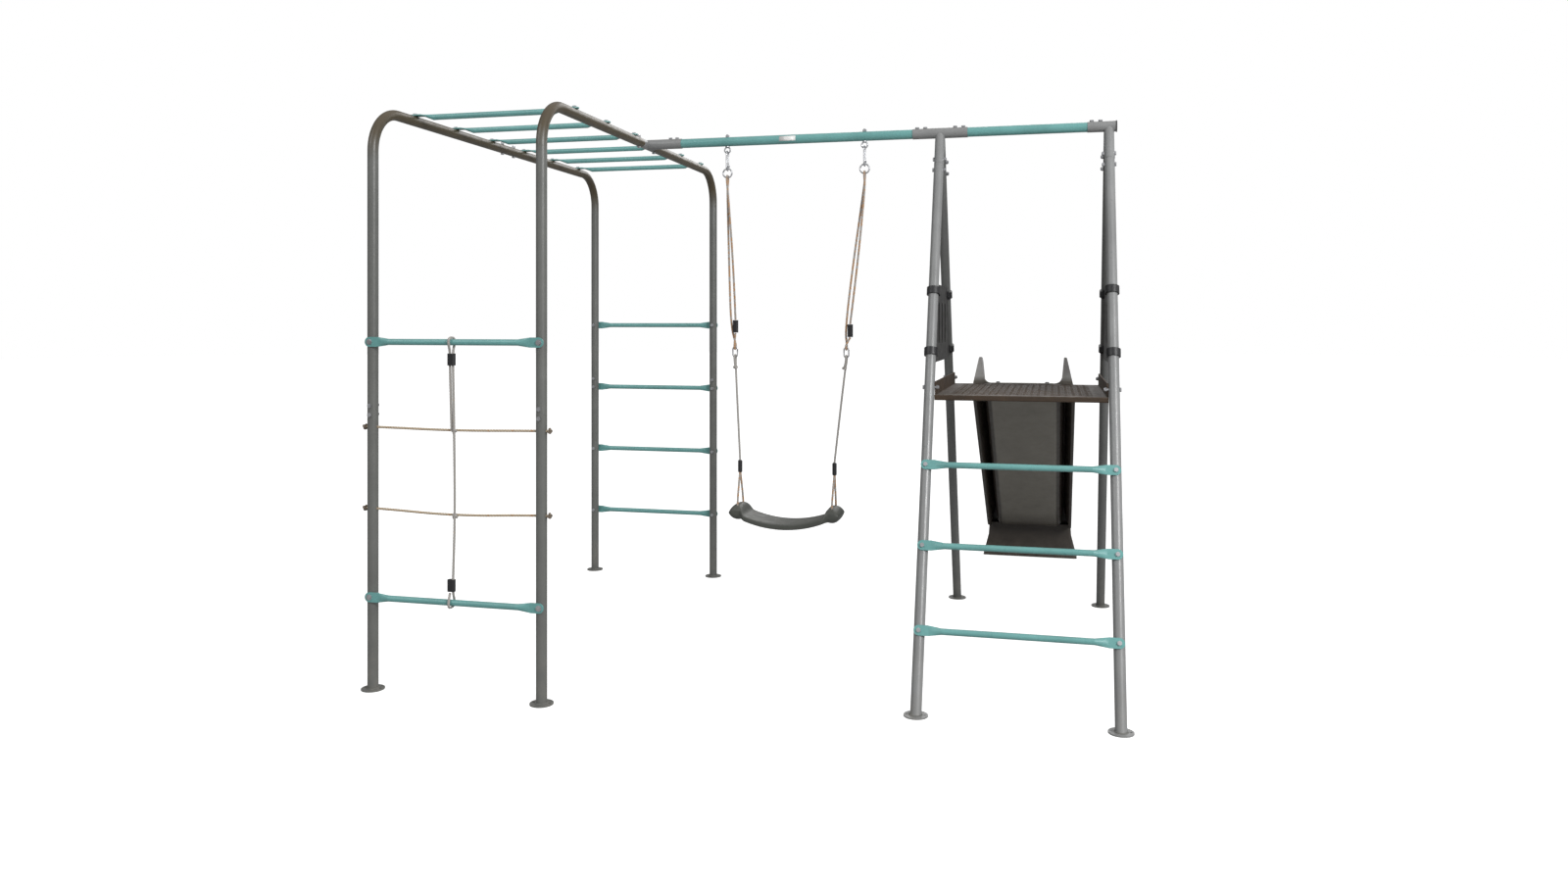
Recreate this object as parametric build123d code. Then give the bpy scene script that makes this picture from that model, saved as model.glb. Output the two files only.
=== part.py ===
from build123d import *
import os
from math import atan2, ceil, cos, degrees, hypot, radians, sin, tan

# Garden play frame: monkey bars with a rope net and a ladder, one swing, and a slide tower.
# Millimetres, +Z up. X runs along the swing beam, from the monkey bars to the tower. Y runs from
# the front (net and steps) to the back (ladder and slide). The origin is on the ground, under the
# middle of the footprint.

# ---- driving dimensions -------------------------------------------------------------------
FRAME_HEIGHT = 1900.0       # centre line of the rails and of the swing beam
UNIT_WIDTH = 600.0          # post to post across the monkey bars, and leg to leg across the tower
UNIT_LENGTH = 1800.0        # front post to back post
SWING_BAY = 1155.0          # monkey-bar post to first tower leg
BEAM_SETBACK = 920.0        # front post to swing beam
TOTAL_DEPTH = 2730.0        # front foot to the end of the slide
LEG_SPREAD = 1490.0         # front foot to back foot of the tower

TUBE_D = 35.0
TUBE_WALL = 1.6
SLEEVE_CLEARANCE = 0.2
SOCKET_WALL = 1.6
BEND_RADIUS = 140.0
JOINT_GAP = 0.6
INSERT_LENGTH = 100.0
RAIL_INSERT_LENGTH = 140.0
POST_JOINT_Z = 913.0
LEG_JOINT_Z = 1777.0

FOOT_D = 75.0
FOOT_THICKNESS = 4.0
FOOT_HOLE_D = 8.5
FOOT_HOLE_PITCH = 54.0

RUNG_D = 20.0
RUNG_WALL = 1.5
TAB_WIDTH = 32.0
TAB_THICKNESS = 4.0
TAB_LENGTH = 30.0
TAB_TAPER = 42.0
FACE_GAP = 0.15

MONKEY_RUNG_FIRST = 245.0
MONKEY_RUNG_PITCH = 271.0
MONKEY_RUNGS = 6
LADDER_Z_FIRST = 292.0
LADDER_PITCH = 298.0
LADDER_RUNGS = 4
STEP_Z_FIRST = 234.0
STEP_PITCH = 246.0
STEPS = 3
NET_BAR_TOP_Z = 1136.0
NET_BAR_BOTTOM_Z = 305.0

BOLT_D = 8.0
BOLT_HOLE_D = 8.6
HEX_RADIUS = 7.5
HEAD_HEIGHT = 5.3
NUT_HEIGHT = 6.5
SHORT_BOLT = 16.0
POST_BOLT_OFFSET = 15.0
RAIL_BOLT_OFFSET = 47.0
JOINT_BOLT_OFFSET = 22.0

DECK_TOP_Z = 955.0
DECK_THICKNESS = 18.0
DECK_FRONT = 545.0          # from the front posts, along Y
DECK_BACK = 1300.0
DECK_FLANGE_TOP_Z = 1000.0
DECK_FLANGE_THICKNESS = 5.0
DECK_BOLT_Z = 980.0

GUARD_TOP_Z = 1335.0
GUARD_BOTTOM_Z = 1060.0
GUARD_THICKNESS = 14.0
CLAMP_HEIGHTS = (1308.0, 1098.0)
CLAMP_D = 47.0
CLAMP_HEIGHT = 26.0

SLIDE_OFFSET = -12.0        # the slide sits a little towards the swing on the deck
SLIDE_HALF_WIDTH = 205.0
SLIDE_BED_HALF = 126.0
SLIDE_WALL_HEIGHT = 104.0
SLIDE_SKIN = 5.0
SLIDE_RIM_DROP = 8.0
SLIDE_RUNOUT_Z = 180.0
SLIDE_END_Z = 172.0
SLIDE_FOOT_HALF = 234.0
SLIDE_FOOT_DEPTH = 92.0

ROPE_D = 8.0
NET_ROPE_UPPER_Z = 858.0
NET_ROPE_LOWER_Z = 592.0
NET_ROPE_HOLE_D = 11.0
KNOT_D = 21.0

HANGER_OFFSETS = (334.0, 872.0)     # eye bolts, from the monkey-bar rail
SEAT_CENTRE_OFFSET = 570.0          # the seat hangs a little nearer the monkey bars
SEAT_HALF_PITCH = 184.0
EYE_R = 11.0
WIRE_R = 3.0
EYE_DROP = 26.0                     # beam underside to the bearing point of the eye
HOOK_SPAN = 61.0                    # eye bearing point to ring bearing point
HOOK_HALF_WIDTH = 12.0
RING_R = 17.5
LINK_TOP_Z = 1104.0
LINK_BOTTOM_Z = 1066.0
LINK_R = 9.0
LINK_WIRE_R = 2.5
CRIMP_TOP_Z = 667.0
CRIMP_BOTTOM_Z = 620.0
CRIMP_D = 17.0
SEAT_TOP_Z = 440.0
SEAT_THICKNESS = 25.0
SEAT_DEPTH = 160.0
SEAT_RISE = 45.0
SEAT_LUMP_R = 30.0
SEAT_LUMP_LENGTH = 132.0
SEAT_HOLE_HALF_PITCH = 42.0

# ---- places worked out from them ----------------------------------------------------------
X_LEFT = -(2 * UNIT_WIDTH + SWING_BAY) / 2
X_RIGHT = X_LEFT + UNIT_WIDTH
X_INNER = X_RIGHT + SWING_BAY
X_OUTER = X_INNER + UNIT_WIDTH
X_TOWER = (X_INNER + X_OUTER) / 2
Y_FRONT = FOOT_D / 2 - TOTAL_DEPTH / 2
Y_BACK = Y_FRONT + UNIT_LENGTH
Y_BEAM = Y_FRONT + BEAM_SETBACK
Y_SLIDE_END = TOTAL_DEPTH / 2
TUBE_R = TUBE_D / 2
BORE_R = TUBE_R - TUBE_WALL
INSERT_R = BORE_R - SLEEVE_CLEARANCE
SOCKET_BORE_R = TUBE_R + SLEEVE_CLEARANCE
SOCKET_R = SOCKET_BORE_R + SOCKET_WALL
LEG_ANGLE = degrees(atan2(LEG_SPREAD / 2, FRAME_HEIGHT))
EYE_Z = FRAME_HEIGHT - TUBE_R - EYE_DROP
RING_TOP_Z = EYE_Z - HOOK_SPAN
RING_BOTTOM_Z = RING_TOP_Z - 2 * RING_R

parts = {}


def add(name, *solids):
    """Keep one named sub-part, made of one or more separate solids."""
    flat = []
    for item in solids:
        flat.extend(item.solids())
    parts[name] = flat[0] if len(flat) == 1 else Compound(children=flat)


def rod(a, b, radius):
    """A round bar from point a to point b."""
    a, b = Vector(*a), Vector(*b)
    return Solid.make_cylinder(radius, (b - a).length, Plane(origin=a, z_dir=b - a))


def tube(a, b, radius, bore):
    """A round tube from point a to point b, open at both ends."""
    a, b = Vector(*a), Vector(*b)
    axis = (b - a).normalized()
    return rod(a, b, radius) - rod(a - axis, b + axis, bore)


def cross_hole(point, direction, diameter=BOLT_HOLE_D, reach=60.0):
    """The drill for a hole through a tube, centred on a point of its axis."""
    point, direction = Vector(*point), Vector(*direction).normalized()
    return rod(point - direction * reach / 2, point + direction * reach / 2, diameter / 2)


def swept(path, section):
    """A section swept along a path, starting square to it."""
    start = Plane(origin=path @ 0, z_dir=path % 0)
    return sweep(start * section, path=path)


def leg_y(z, side):
    """Y of a tower leg's axis at height z: side -1 is the front leg, +1 the back leg."""
    return Y_BEAM + side * LEG_SPREAD / 2 * (1 - z / FRAME_HEIGHT)


def leg_point(x, z, side):
    return Vector(x, leg_y(z, side), z)


def leg_direction(side):
    """Unit vector down a tower leg."""
    return Vector(0, side * LEG_SPREAD / 2, -FRAME_HEIGHT).normalized()


def foot_plate(x, y):
    """A round foot plate with two ground-anchor holes."""
    plate = Pos(x, y, FOOT_THICKNESS / 2) * Cylinder(FOOT_D / 2, FOOT_THICKNESS)
    for side in (-1, 1):
        drill = Pos(x + side * FOOT_HOLE_PITCH / 2, y, FOOT_THICKNESS / 2)
        plate -= drill * Cylinder(FOOT_HOLE_D / 2, 3 * FOOT_THICKNESS)
    return plate


def bolt(head_point, direction, grip, with_nut=True):
    """A hex bolt whose head sits on head_point, and its domed nut grip millimetres further on."""
    start, direction = Vector(*head_point), Vector(*direction).normalized()
    hexagon = RegularPolygon(HEX_RADIUS, 6)
    head = extrude(Plane(origin=start, z_dir=-direction) * hexagon, HEAD_HEIGHT)
    shank_length = grip + (NUT_HEIGHT if with_nut else 0)
    screw = head + rod(start - direction, start + direction * shank_length, BOLT_D / 2)
    pieces = [screw]
    if with_nut:
        seat = start + direction * grip
        nut = extrude(Plane(origin=seat, z_dir=direction) * hexagon, NUT_HEIGHT)
        dome = rod(seat + direction * NUT_HEIGHT, seat + direction * (NUT_HEIGHT + 3), BOLT_D / 2 + 1.5)
        nut = nut + dome
        nut -= rod(seat - direction, seat + direction * (NUT_HEIGHT + 0.3), BOLT_D / 2 + 0.1)
        pieces.append(nut)
    return pieces


def flat_end_bar(a, b, outward, flush=False):
    """A tube bar between two bolt holes a and b, with flared, flattened ends.

    a and b lie on the mounting face, outward points away from it. A flush bar has its tube
    level with the outer face of the tabs, the others have it in the middle of the tabs.
    """
    a, b = Vector(*a), Vector(*b)
    length = (b - a).length
    frame = Plane(origin=a, x_dir=b - a, z_dir=Vector(*outward))
    lift = TAB_THICKNESS - RUNG_D / 2 if flush else TAB_THICKNESS / 2
    taper_end = TAB_LENGTH + TAB_TAPER
    middle = Solid.make_cylinder(
        RUNG_D / 2, length - 2 * taper_end, Plane(origin=(taper_end, 0, lift), z_dir=(1, 0, 0)))
    middle -= Solid.make_cylinder(
        RUNG_D / 2 - RUNG_WALL, length - 2 * taper_end, Plane(origin=(taper_end, 0, lift), z_dir=(1, 0, 0)))
    tab = Pos(TAB_LENGTH / 2, 0, TAB_THICKNESS / 2) * Box(TAB_LENGTH, TAB_WIDTH, TAB_THICKNESS)
    tab += Pos(0, 0, TAB_THICKNESS / 2) * Cylinder(TAB_WIDTH / 2, TAB_THICKNESS)
    flat = Plane(origin=(TAB_LENGTH, 0, TAB_THICKNESS / 2), x_dir=(0, 1, 0), z_dir=(1, 0, 0))
    flat_section = flat * RectangleRounded(TAB_WIDTH, TAB_THICKNESS, TAB_THICKNESS / 2 - 0.1)
    round_plane = Plane(origin=(taper_end, 0, lift), x_dir=(0, 1, 0), z_dir=(1, 0, 0))
    taper = loft([flat_section, round_plane * Circle(RUNG_D / 2)])
    end = tab + taper
    end -= Pos(0, 0, TAB_THICKNESS / 2) * Cylinder(BOLT_HOLE_D / 2, 3 * TAB_THICKNESS)
    other = Pos(length, 0, 0) * Rot(0, 0, 180) * end
    return frame * (end + middle + other)


def rope(points, radii, diameter=ROPE_D):
    """A round rope along straight runs joined by tangent arcs."""
    path = FilletPolyline(*[Vector(*p) for p in points], radius=radii)
    return swept(path, Circle(diameter / 2)), path.length


def corner_radii(points, tight=()):
    """Arc radius at each inner point of a route; tight holds {index: radius} for wrapped rods."""
    tight = dict(tight)
    radii = []
    for i in range(1, len(points) - 1):
        before = Vector(*points[i]) - Vector(*points[i - 1])
        after = Vector(*points[i + 1]) - Vector(*points[i])
        turn = radians(before.get_angle(after))
        largest = 0.45 * min(before.length, after.length) / tan(turn / 2)
        radii.append(min(tight.get(i, largest), largest))
    return radii


# ---- monkey-bar unit ----------------------------------------------------------------------
# the lower bolt of each back joint is the one that also holds the third ladder rung
rung_ys = [Y_FRONT + MONKEY_RUNG_FIRST + i * MONKEY_RUNG_PITCH for i in range(MONKEY_RUNGS)]
ladder_zs = [LADDER_Z_FIRST + i * LADDER_PITCH for i in range(LADDER_RUNGS)]
net_bar_zs = (NET_BAR_BOTTOM_Z, NET_BAR_TOP_Z)
joint_holes = {"front": (POST_JOINT_Z - POST_BOLT_OFFSET, POST_JOINT_Z + POST_BOLT_OFFSET),
               "back": (ladder_zs[2], POST_JOINT_Z + POST_BOLT_OFFSET)}
TEE_HALF = 60.0
rail_joint_half = {"left": JOINT_GAP / 2, "right": TEE_HALF + JOINT_GAP / 2}
rail_bolt_offset = {"left": RAIL_BOLT_OFFSET, "right": TEE_HALF + JOINT_BOLT_OFFSET}
inserts = []
frame_bolts = []
rung_bolts = []

for side_name, x in (("left", X_LEFT), ("right", X_RIGHT)):
    for end_name, y, inward in (("front", Y_FRONT, 1), ("back", Y_BACK, -1)):
        mid_y = Y_BEAM - inward * rail_joint_half[side_name]
        corner = (x, y, FRAME_HEIGHT)
        path = FilletPolyline((x, y, POST_JOINT_Z + JOINT_GAP / 2), corner, (x, mid_y, FRAME_HEIGHT),
                              radius=BEND_RADIUS)
        upper = swept(path, Circle(TUBE_R) - Circle(BORE_R))
        drills = [cross_hole((x, y, joint_holes[end_name][1]), (0, 1, 0))]
        drills += [rod((x, ry, FRAME_HEIGHT), (x, ry, FRAME_HEIGHT + 30), BOLT_HOLE_D / 2)
                   for ry in rung_ys if (ry - Y_BEAM) * inward < 0]
        rail_bolt_y = Y_BEAM - inward * rail_bolt_offset[side_name]
        drills.append(cross_hole((x, rail_bolt_y, FRAME_HEIGHT), (0, 0, 1)))
        bars = net_bar_zs if end_name == "front" else ladder_zs
        drills += [cross_hole((x, y, z), (0, 1, 0)) for z in bars if z > POST_JOINT_Z]
        add(f"upper_frame_{side_name}_{end_name}", upper - drills)

        post = tube((x, y, FOOT_THICKNESS / 2), (x, y, POST_JOINT_Z - JOINT_GAP / 2), TUBE_R, BORE_R)
        drills = [cross_hole((x, y, z), (0, 1, 0)) for z in {joint_holes[end_name][0], *bars}
                  if z < POST_JOINT_Z]
        if end_name == "front":
            drills += [cross_hole((x, y, z), (1, 0, 0), NET_ROPE_HOLE_D)
                       for z in (NET_ROPE_UPPER_Z, NET_ROPE_LOWER_Z)]
        add(f"lower_post_{side_name}_{end_name}", post - drills + foot_plate(x, y))

        insert = tube((x, y, POST_JOINT_Z - INSERT_LENGTH / 2), (x, y, POST_JOINT_Z + INSERT_LENGTH / 2),
                      INSERT_R, INSERT_R - TUBE_WALL)
        drills = [cross_hole((x, y, z), (0, 1, 0)) for z in joint_holes[end_name]]
        if end_name == "front":
            drills.append(cross_hole((x, y, NET_ROPE_UPPER_Z), (1, 0, 0), NET_ROPE_HOLE_D + 8))
        inserts.append(insert - drills)
        for z in joint_holes[end_name]:
            if z not in bars:
                frame_bolts += bolt((x, y - inward * TUBE_R, z), (0, inward, 0), TUBE_D)
        frame_bolts += bolt((x, rail_bolt_y, FRAME_HEIGHT - TUBE_R), (0, 0, 1), TUBE_D)
        for z in bars:
            head_y = y - inward * (TUBE_R + FACE_GAP + TAB_THICKNESS)
            rung_bolts += bolt((x, head_y, z), (0, inward, 0), TUBE_D + FACE_GAP + TAB_THICKNESS)

rail_insert = tube((X_LEFT, Y_BEAM - RAIL_INSERT_LENGTH / 2, FRAME_HEIGHT),
                   (X_LEFT, Y_BEAM + RAIL_INSERT_LENGTH / 2, FRAME_HEIGHT), INSERT_R, INSERT_R - TUBE_WALL)
inserts.append(rail_insert - [cross_hole((X_LEFT, Y_BEAM + s * RAIL_BOLT_OFFSET, FRAME_HEIGHT), (0, 0, 1))
                              for s in (-1, 1)])

for i, ry in enumerate(rung_ys, 1):
    face_z = FRAME_HEIGHT + TUBE_R + FACE_GAP
    add(f"monkey_rung_{i}", flat_end_bar((X_LEFT, ry, face_z), (X_RIGHT, ry, face_z), (0, 0, 1), flush=True))
    for x in (X_LEFT, X_RIGHT):
        rung_bolts += bolt((x, ry, face_z + TAB_THICKNESS), (0, 0, -1), SHORT_BOLT, with_nut=False)

front_face = Y_FRONT - TUBE_R - FACE_GAP
back_face = Y_BACK + TUBE_R + FACE_GAP
for name, z in (("net_bar_bottom", NET_BAR_BOTTOM_Z), ("net_bar_top", NET_BAR_TOP_Z)):
    add(name, flat_end_bar((X_LEFT, front_face, z), (X_RIGHT, front_face, z), (0, -1, 0)))
for i, z in enumerate(ladder_zs, 1):
    add(f"ladder_rung_{i}", flat_end_bar((X_LEFT, back_face, z), (X_RIGHT, back_face, z), (0, 1, 0)))

# ---- swing beam, tees and end coupler -----------------------------------------------------
SPIGOT = 48.0
BRANCH_END = X_RIGHT + 148.0
TOWER_TEE_HALF = 101.0
tee_body = tube((X_RIGHT, Y_BEAM - TEE_HALF, FRAME_HEIGHT), (X_RIGHT, Y_BEAM + TEE_HALF, FRAME_HEIGHT),
                TUBE_R, BORE_R - 2)
tee_spigots = tube((X_RIGHT, Y_BEAM - TEE_HALF - SPIGOT, FRAME_HEIGHT),
                   (X_RIGHT, Y_BEAM + TEE_HALF + SPIGOT, FRAME_HEIGHT), INSERT_R, BORE_R - 2)
branch = rod((X_RIGHT + 4, Y_BEAM, FRAME_HEIGHT), (BRANCH_END, Y_BEAM, FRAME_HEIGHT), SOCKET_R)
branch -= rod((X_RIGHT, Y_BEAM - TEE_HALF, FRAME_HEIGHT), (X_RIGHT, Y_BEAM + TEE_HALF, FRAME_HEIGHT),
              BORE_R - 1)
branch -= rod((X_RIGHT + 26, Y_BEAM, FRAME_HEIGHT), (BRANCH_END + 1, Y_BEAM, FRAME_HEIGHT), SOCKET_BORE_R)
branch_bolts = (X_RIGHT + 101, X_RIGHT + 128)
rail_tee = tee_body + tee_spigots + branch
rail_tee -= [rod((x, Y_BEAM, FRAME_HEIGHT), (x, Y_BEAM, FRAME_HEIGHT + 30), BOLT_HOLE_D / 2)
             for x in branch_bolts]
rail_tee -= [cross_hole((X_RIGHT, Y_BEAM + s * rail_bolt_offset["right"], FRAME_HEIGHT), (0, 0, 1))
             for s in (-1, 1)]
add("rail_tee", rail_tee)

tee_bolts = [X_INNER + dx for dx in (-85, -55, 55, 85)]
end_bolts = (X_OUTER - 59, X_OUTER - 29)
hanger_xs = [X_RIGHT + dx for dx in HANGER_OFFSETS]
beam = tube((X_RIGHT + 30, Y_BEAM, FRAME_HEIGHT), (X_INNER - 8, Y_BEAM, FRAME_HEIGHT), TUBE_R, BORE_R)
beam -= [rod((x, Y_BEAM, FRAME_HEIGHT), (x, Y_BEAM, FRAME_HEIGHT + 30), BOLT_HOLE_D / 2)
         for x in (*branch_bolts, *tee_bolts[:2])]
beam -= [cross_hole((x, Y_BEAM, FRAME_HEIGHT), (0, 0, 1)) for x in hanger_xs]
add("swing_beam", beam)
tower_beam = tube((X_INNER + 8, Y_BEAM, FRAME_HEIGHT), (X_OUTER - 20, Y_BEAM, FRAME_HEIGHT), TUBE_R, BORE_R)
tower_beam -= [rod((x, Y_BEAM, FRAME_HEIGHT), (x, Y_BEAM, FRAME_HEIGHT + 30), BOLT_HOLE_D / 2)
               for x in (*tee_bolts[2:], *end_bolts)]
add("tower_beam", tower_beam)
for x in (*branch_bolts, *tee_bolts, *end_bolts):
    frame_bolts += bolt((x, Y_BEAM, FRAME_HEIGHT + SOCKET_R), (0, 0, -1), SHORT_BOLT, with_nut=False)

leg_joint_bolts = {}
for side in (-1, 1):
    joint = leg_point(0, LEG_JOINT_Z, side)
    leg_joint_bolts[side] = [joint + leg_direction(side) * s * JOINT_BOLT_OFFSET for s in (-1, 1)]


def leg_coupler(x, x_from, x_to, bolts):
    """A socket along the beam with a leg stub to the front and one to the back."""
    shell = rod((x_from, Y_BEAM, FRAME_HEIGHT), (x_to, Y_BEAM, FRAME_HEIGHT), SOCKET_R)
    bores = [rod((x_from - 1, Y_BEAM, FRAME_HEIGHT), (x_to + 1, Y_BEAM, FRAME_HEIGHT), SOCKET_BORE_R)]
    apex = Vector(x, Y_BEAM, FRAME_HEIGHT)
    for side in (-1, 1):
        down = leg_direction(side)
        end = leg_point(x, LEG_JOINT_Z, side) - down * JOINT_GAP / 2
        shell += rod(apex, end, TUBE_R)
        bores.append(rod(apex + down * 70, end + down, BORE_R))
        bores.append(cross_hole(leg_joint_bolts[side][0] + Vector(x, 0, 0), (1, 0, 0)))
    bores += [rod((bx, Y_BEAM, FRAME_HEIGHT), (bx, Y_BEAM, FRAME_HEIGHT + 30), BOLT_HOLE_D / 2)
              for bx in bolts]
    return shell - bores


END_COUPLER_TO = X_OUTER + 24.0
add("tower_tee", leg_coupler(X_INNER, X_INNER - TOWER_TEE_HALF, X_INNER + TOWER_TEE_HALF, tee_bolts))
add("end_coupler", leg_coupler(X_OUTER, X_OUTER - 74, END_COUPLER_TO, end_bolts))
cap = rod((END_COUPLER_TO + 0.2, Y_BEAM, FRAME_HEIGHT), (END_COUPLER_TO + 4, Y_BEAM, FRAME_HEIGHT),
          SOCKET_R + 1.5)
cap += rod((END_COUPLER_TO - 14, Y_BEAM, FRAME_HEIGHT), (END_COUPLER_TO + 1, Y_BEAM, FRAME_HEIGHT),
           SOCKET_BORE_R - 0.15)
add("beam_end_cap", cap)

# ---- tower legs and steps -----------------------------------------------------------------
step_zs = [STEP_Z_FIRST + i * STEP_PITCH for i in range(STEPS)]
front_normal = Vector(0, -FRAME_HEIGHT, -LEG_SPREAD / 2).normalized()
if front_normal.Z < 0:
    front_normal = Vector(0, front_normal.Y, -front_normal.Z)

for leg_name, x, outward in (("inner", X_INNER, -1), ("outer", X_OUTER, 1)):
    for end_name, side in (("front", -1), ("back", 1)):
        down = leg_direction(side)
        top = leg_point(x, LEG_JOINT_Z, side) + down * JOINT_GAP / 2
        leg = tube(top, leg_point(x, -40, side), TUBE_R, BORE_R)
        below = Pos(x, leg_y(0, side), FOOT_THICKNESS / 2 - 100) * Box(300, 300, 200)
        drills = [below, cross_hole(leg_joint_bolts[side][1] + Vector(x, 0, 0), (1, 0, 0))]
        drills.append(cross_hole(leg_point(x, DECK_BOLT_Z, side), (1, 0, 0)))
        if side < 0:
            drills += [cross_hole(leg_point(x, z, side), front_normal) for z in step_zs]
        leg = leg - drills
        add(f"tower_leg_{leg_name}_{end_name}", leg + foot_plate(x, leg_y(0, side)))

        centre = leg_point(x, LEG_JOINT_Z, side)
        insert = tube(centre - down * 46, centre + down * 46, INSERT_R, INSERT_R - TUBE_WALL)
        inserts.append(insert - [cross_hole(p + Vector(x, 0, 0), (1, 0, 0)) for p in leg_joint_bolts[side]])
        for p in leg_joint_bolts[side]:
            frame_bolts += bolt((x + outward * TUBE_R, p.Y, p.Z), (-outward, 0, 0), TUBE_D)
        deck_grip = TUBE_D + 0.5 + DECK_FLANGE_THICKNESS
        frame_bolts += bolt((x + outward * TUBE_R, leg_y(DECK_BOLT_Z, side), DECK_BOLT_Z),
                            (-outward, 0, 0), deck_grip)
add("joint_inserts", *inserts)

for i, z in enumerate(step_zs, 1):
    face = front_normal * (TUBE_R + FACE_GAP)
    a, b = leg_point(X_INNER, z, -1) + face, leg_point(X_OUTER, z, -1) + face
    add(f"tower_step_{i}", flat_end_bar(a, b, front_normal))
    for p in (a, b):
        rung_bolts += bolt(p + front_normal * TAB_THICKNESS, -front_normal, TUBE_D + FACE_GAP + TAB_THICKNESS)

# ---- deck ---------------------------------------------------------------------------------
deck_from, deck_to = Y_FRONT + DECK_FRONT, Y_FRONT + DECK_BACK
deck_half = UNIT_WIDTH / 2 - TUBE_R - 0.5
deck_mid_y = (deck_from + deck_to) / 2
deck = Pos(X_TOWER, deck_mid_y, DECK_TOP_Z - DECK_THICKNESS / 2) * Box(
    2 * deck_half, deck_to - deck_from, DECK_THICKNESS)
deck = fillet(deck.edges().filter_by(Axis.X), 4)
flange_height = DECK_FLANGE_TOP_Z - DECK_TOP_Z + DECK_THICKNESS / 2
for s in (-1, 1):
    flange_x = X_TOWER + s * (deck_half - DECK_FLANGE_THICKNESS / 2)
    flange = Pos(flange_x, deck_mid_y, DECK_FLANGE_TOP_Z - flange_height / 2) * Box(
        DECK_FLANGE_THICKNESS, deck_to - deck_from - 24, flange_height)
    deck += fillet(flange.edges().filter_by(Axis.X), 10)
GROOVE_PITCH = 47.0
grooves = int((deck_to - deck_from - 60) / GROOVE_PITCH)
for i in range(grooves + 1):
    gy = deck_mid_y + (i - grooves / 2) * GROOVE_PITCH
    deck -= Pos(X_TOWER, gy, DECK_TOP_Z) * Box(2 * deck_half - 40, 6, 3)
LIP_BOLT_DX = 95.0
lip_bolt_y = deck_to - 18
deck -= [cross_hole((X_TOWER + SLIDE_OFFSET + s * LIP_BOLT_DX, lip_bolt_y, DECK_TOP_Z), (0, 0, 1))
         for s in (-1, 1)]
deck -= [cross_hole((x, leg_y(DECK_BOLT_Z, s), DECK_BOLT_Z), (1, 0, 0), reach=100)
         for x in (X_INNER, X_OUTER) for s in (-1, 1)]
add("deck", deck)

# ---- side guards and their clamps ---------------------------------------------------------
EDGE_GAP = 26.0
SLOT_WIDTH = 34.0
guard_outline = [(leg_y(z, s) - s * EDGE_GAP, z) for z, s in
                 ((GUARD_BOTTOM_Z, -1), (GUARD_BOTTOM_Z, 1), (GUARD_TOP_Z, 1), (GUARD_TOP_Z, -1))]
guard_face = Plane.YZ * Polygon(*guard_outline, align=None)
guard_slots = []
for dy in (-110, 0, 110):
    slot = Pos(0, Y_BEAM + dy, (GUARD_TOP_Z + GUARD_BOTTOM_Z) / 2) * Rot(0, 90, 0)
    guard_slots.append(slot * extrude(RectangleRounded(150, SLOT_WIDTH, SLOT_WIDTH / 2 - 0.1), 40, both=True))
clamps = []
for leg_name, x in (("inner", X_INNER), ("outer", X_OUTER)):
    panel = Pos(x, 0, 0) * extrude(guard_face, GUARD_THICKNESS / 2, both=True)
    panel = fillet(panel.edges().filter_by(Axis.X), 16)
    panel -= [Pos(x, 0, 0) * slot for slot in guard_slots]
    add(f"side_guard_{leg_name}", panel)
    for side in (-1, 1):
        for z in CLAMP_HEIGHTS:
            centre, down = leg_point(x, z, side), leg_direction(side)
            band = rod(centre - down * CLAMP_HEIGHT / 2, centre + down * CLAMP_HEIGHT / 2, CLAMP_D / 2)
            lug_y = leg_y(z, side) - side * (CLAMP_D / 2 + 8)
            clamp = band + Pos(x, lug_y, z) * Box(27, 28, CLAMP_HEIGHT - 4)
            clamp -= rod(centre - down * 40, centre + down * 40, TUBE_R + 0.15)
            slot_from = leg_y(z, side) - side * (EDGE_GAP - 12)
            clamp -= Pos(x, slot_from - side * 50, z) * Box(GUARD_THICKNESS + 0.3, 100, 60)
            clamps.append(clamp)
add("guard_clamps", *clamps)

# ---- slide --------------------------------------------------------------------------------
slide_x = X_TOWER + SLIDE_OFFSET
slide_route = [(deck_to + 1, 957.0), (deck_to + 52, 957.0), (Y_SLIDE_END - 190, SLIDE_RUNOUT_Z),
               (Y_SLIDE_END - 6, SLIDE_END_Z)]
slide_path = FilletPolyline(*[(slide_x, y, z) for y, z in slide_route], radius=[70, 170])
CREST_IN, CREST_OUT, RIM_IN = 160.0, 171.0, 196.0
half_top = [(SLIDE_BED_HALF, 0), (143, 5), (152, 20), (CREST_IN, SLIDE_WALL_HEIGHT),
            (CREST_OUT, SLIDE_WALL_HEIGHT), (RIM_IN, -SLIDE_RIM_DROP), (SLIDE_HALF_WIDTH, -SLIDE_RIM_DROP)]
# the under side of the same skin, from the rim back to the bed
half_under = [(SLIDE_HALF_WIDTH, -SLIDE_RIM_DROP - SLIDE_SKIN), (192, -SLIDE_RIM_DROP - SLIDE_SKIN),
              (167, SLIDE_WALL_HEIGHT - SLIDE_SKIN), (164.6, SLIDE_WALL_HEIGHT - SLIDE_SKIN),
              (156.9, 18.4), (146.3, 0.8), (SLIDE_BED_HALF + 0.7, -SLIDE_SKIN)]
half_line = half_top + half_under
slide_section = Polygon(*half_line, *[(-u, w) for u, w in reversed(half_line)], align=None)
section_plane = Plane(origin=slide_path @ 0, x_dir=(-1, 0, 0), z_dir=slide_path % 0)
slide = sweep(section_plane * slide_section, path=slide_path)
wall_end = [(CREST_IN + 2, SLIDE_WALL_HEIGHT - 2), (CREST_OUT - 2, SLIDE_WALL_HEIGHT - 2),
            (RIM_IN - 2, -SLIDE_RIM_DROP - 2), (150, -SLIDE_RIM_DROP - 2), (147, 3), (154.5, 20)]
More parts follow.
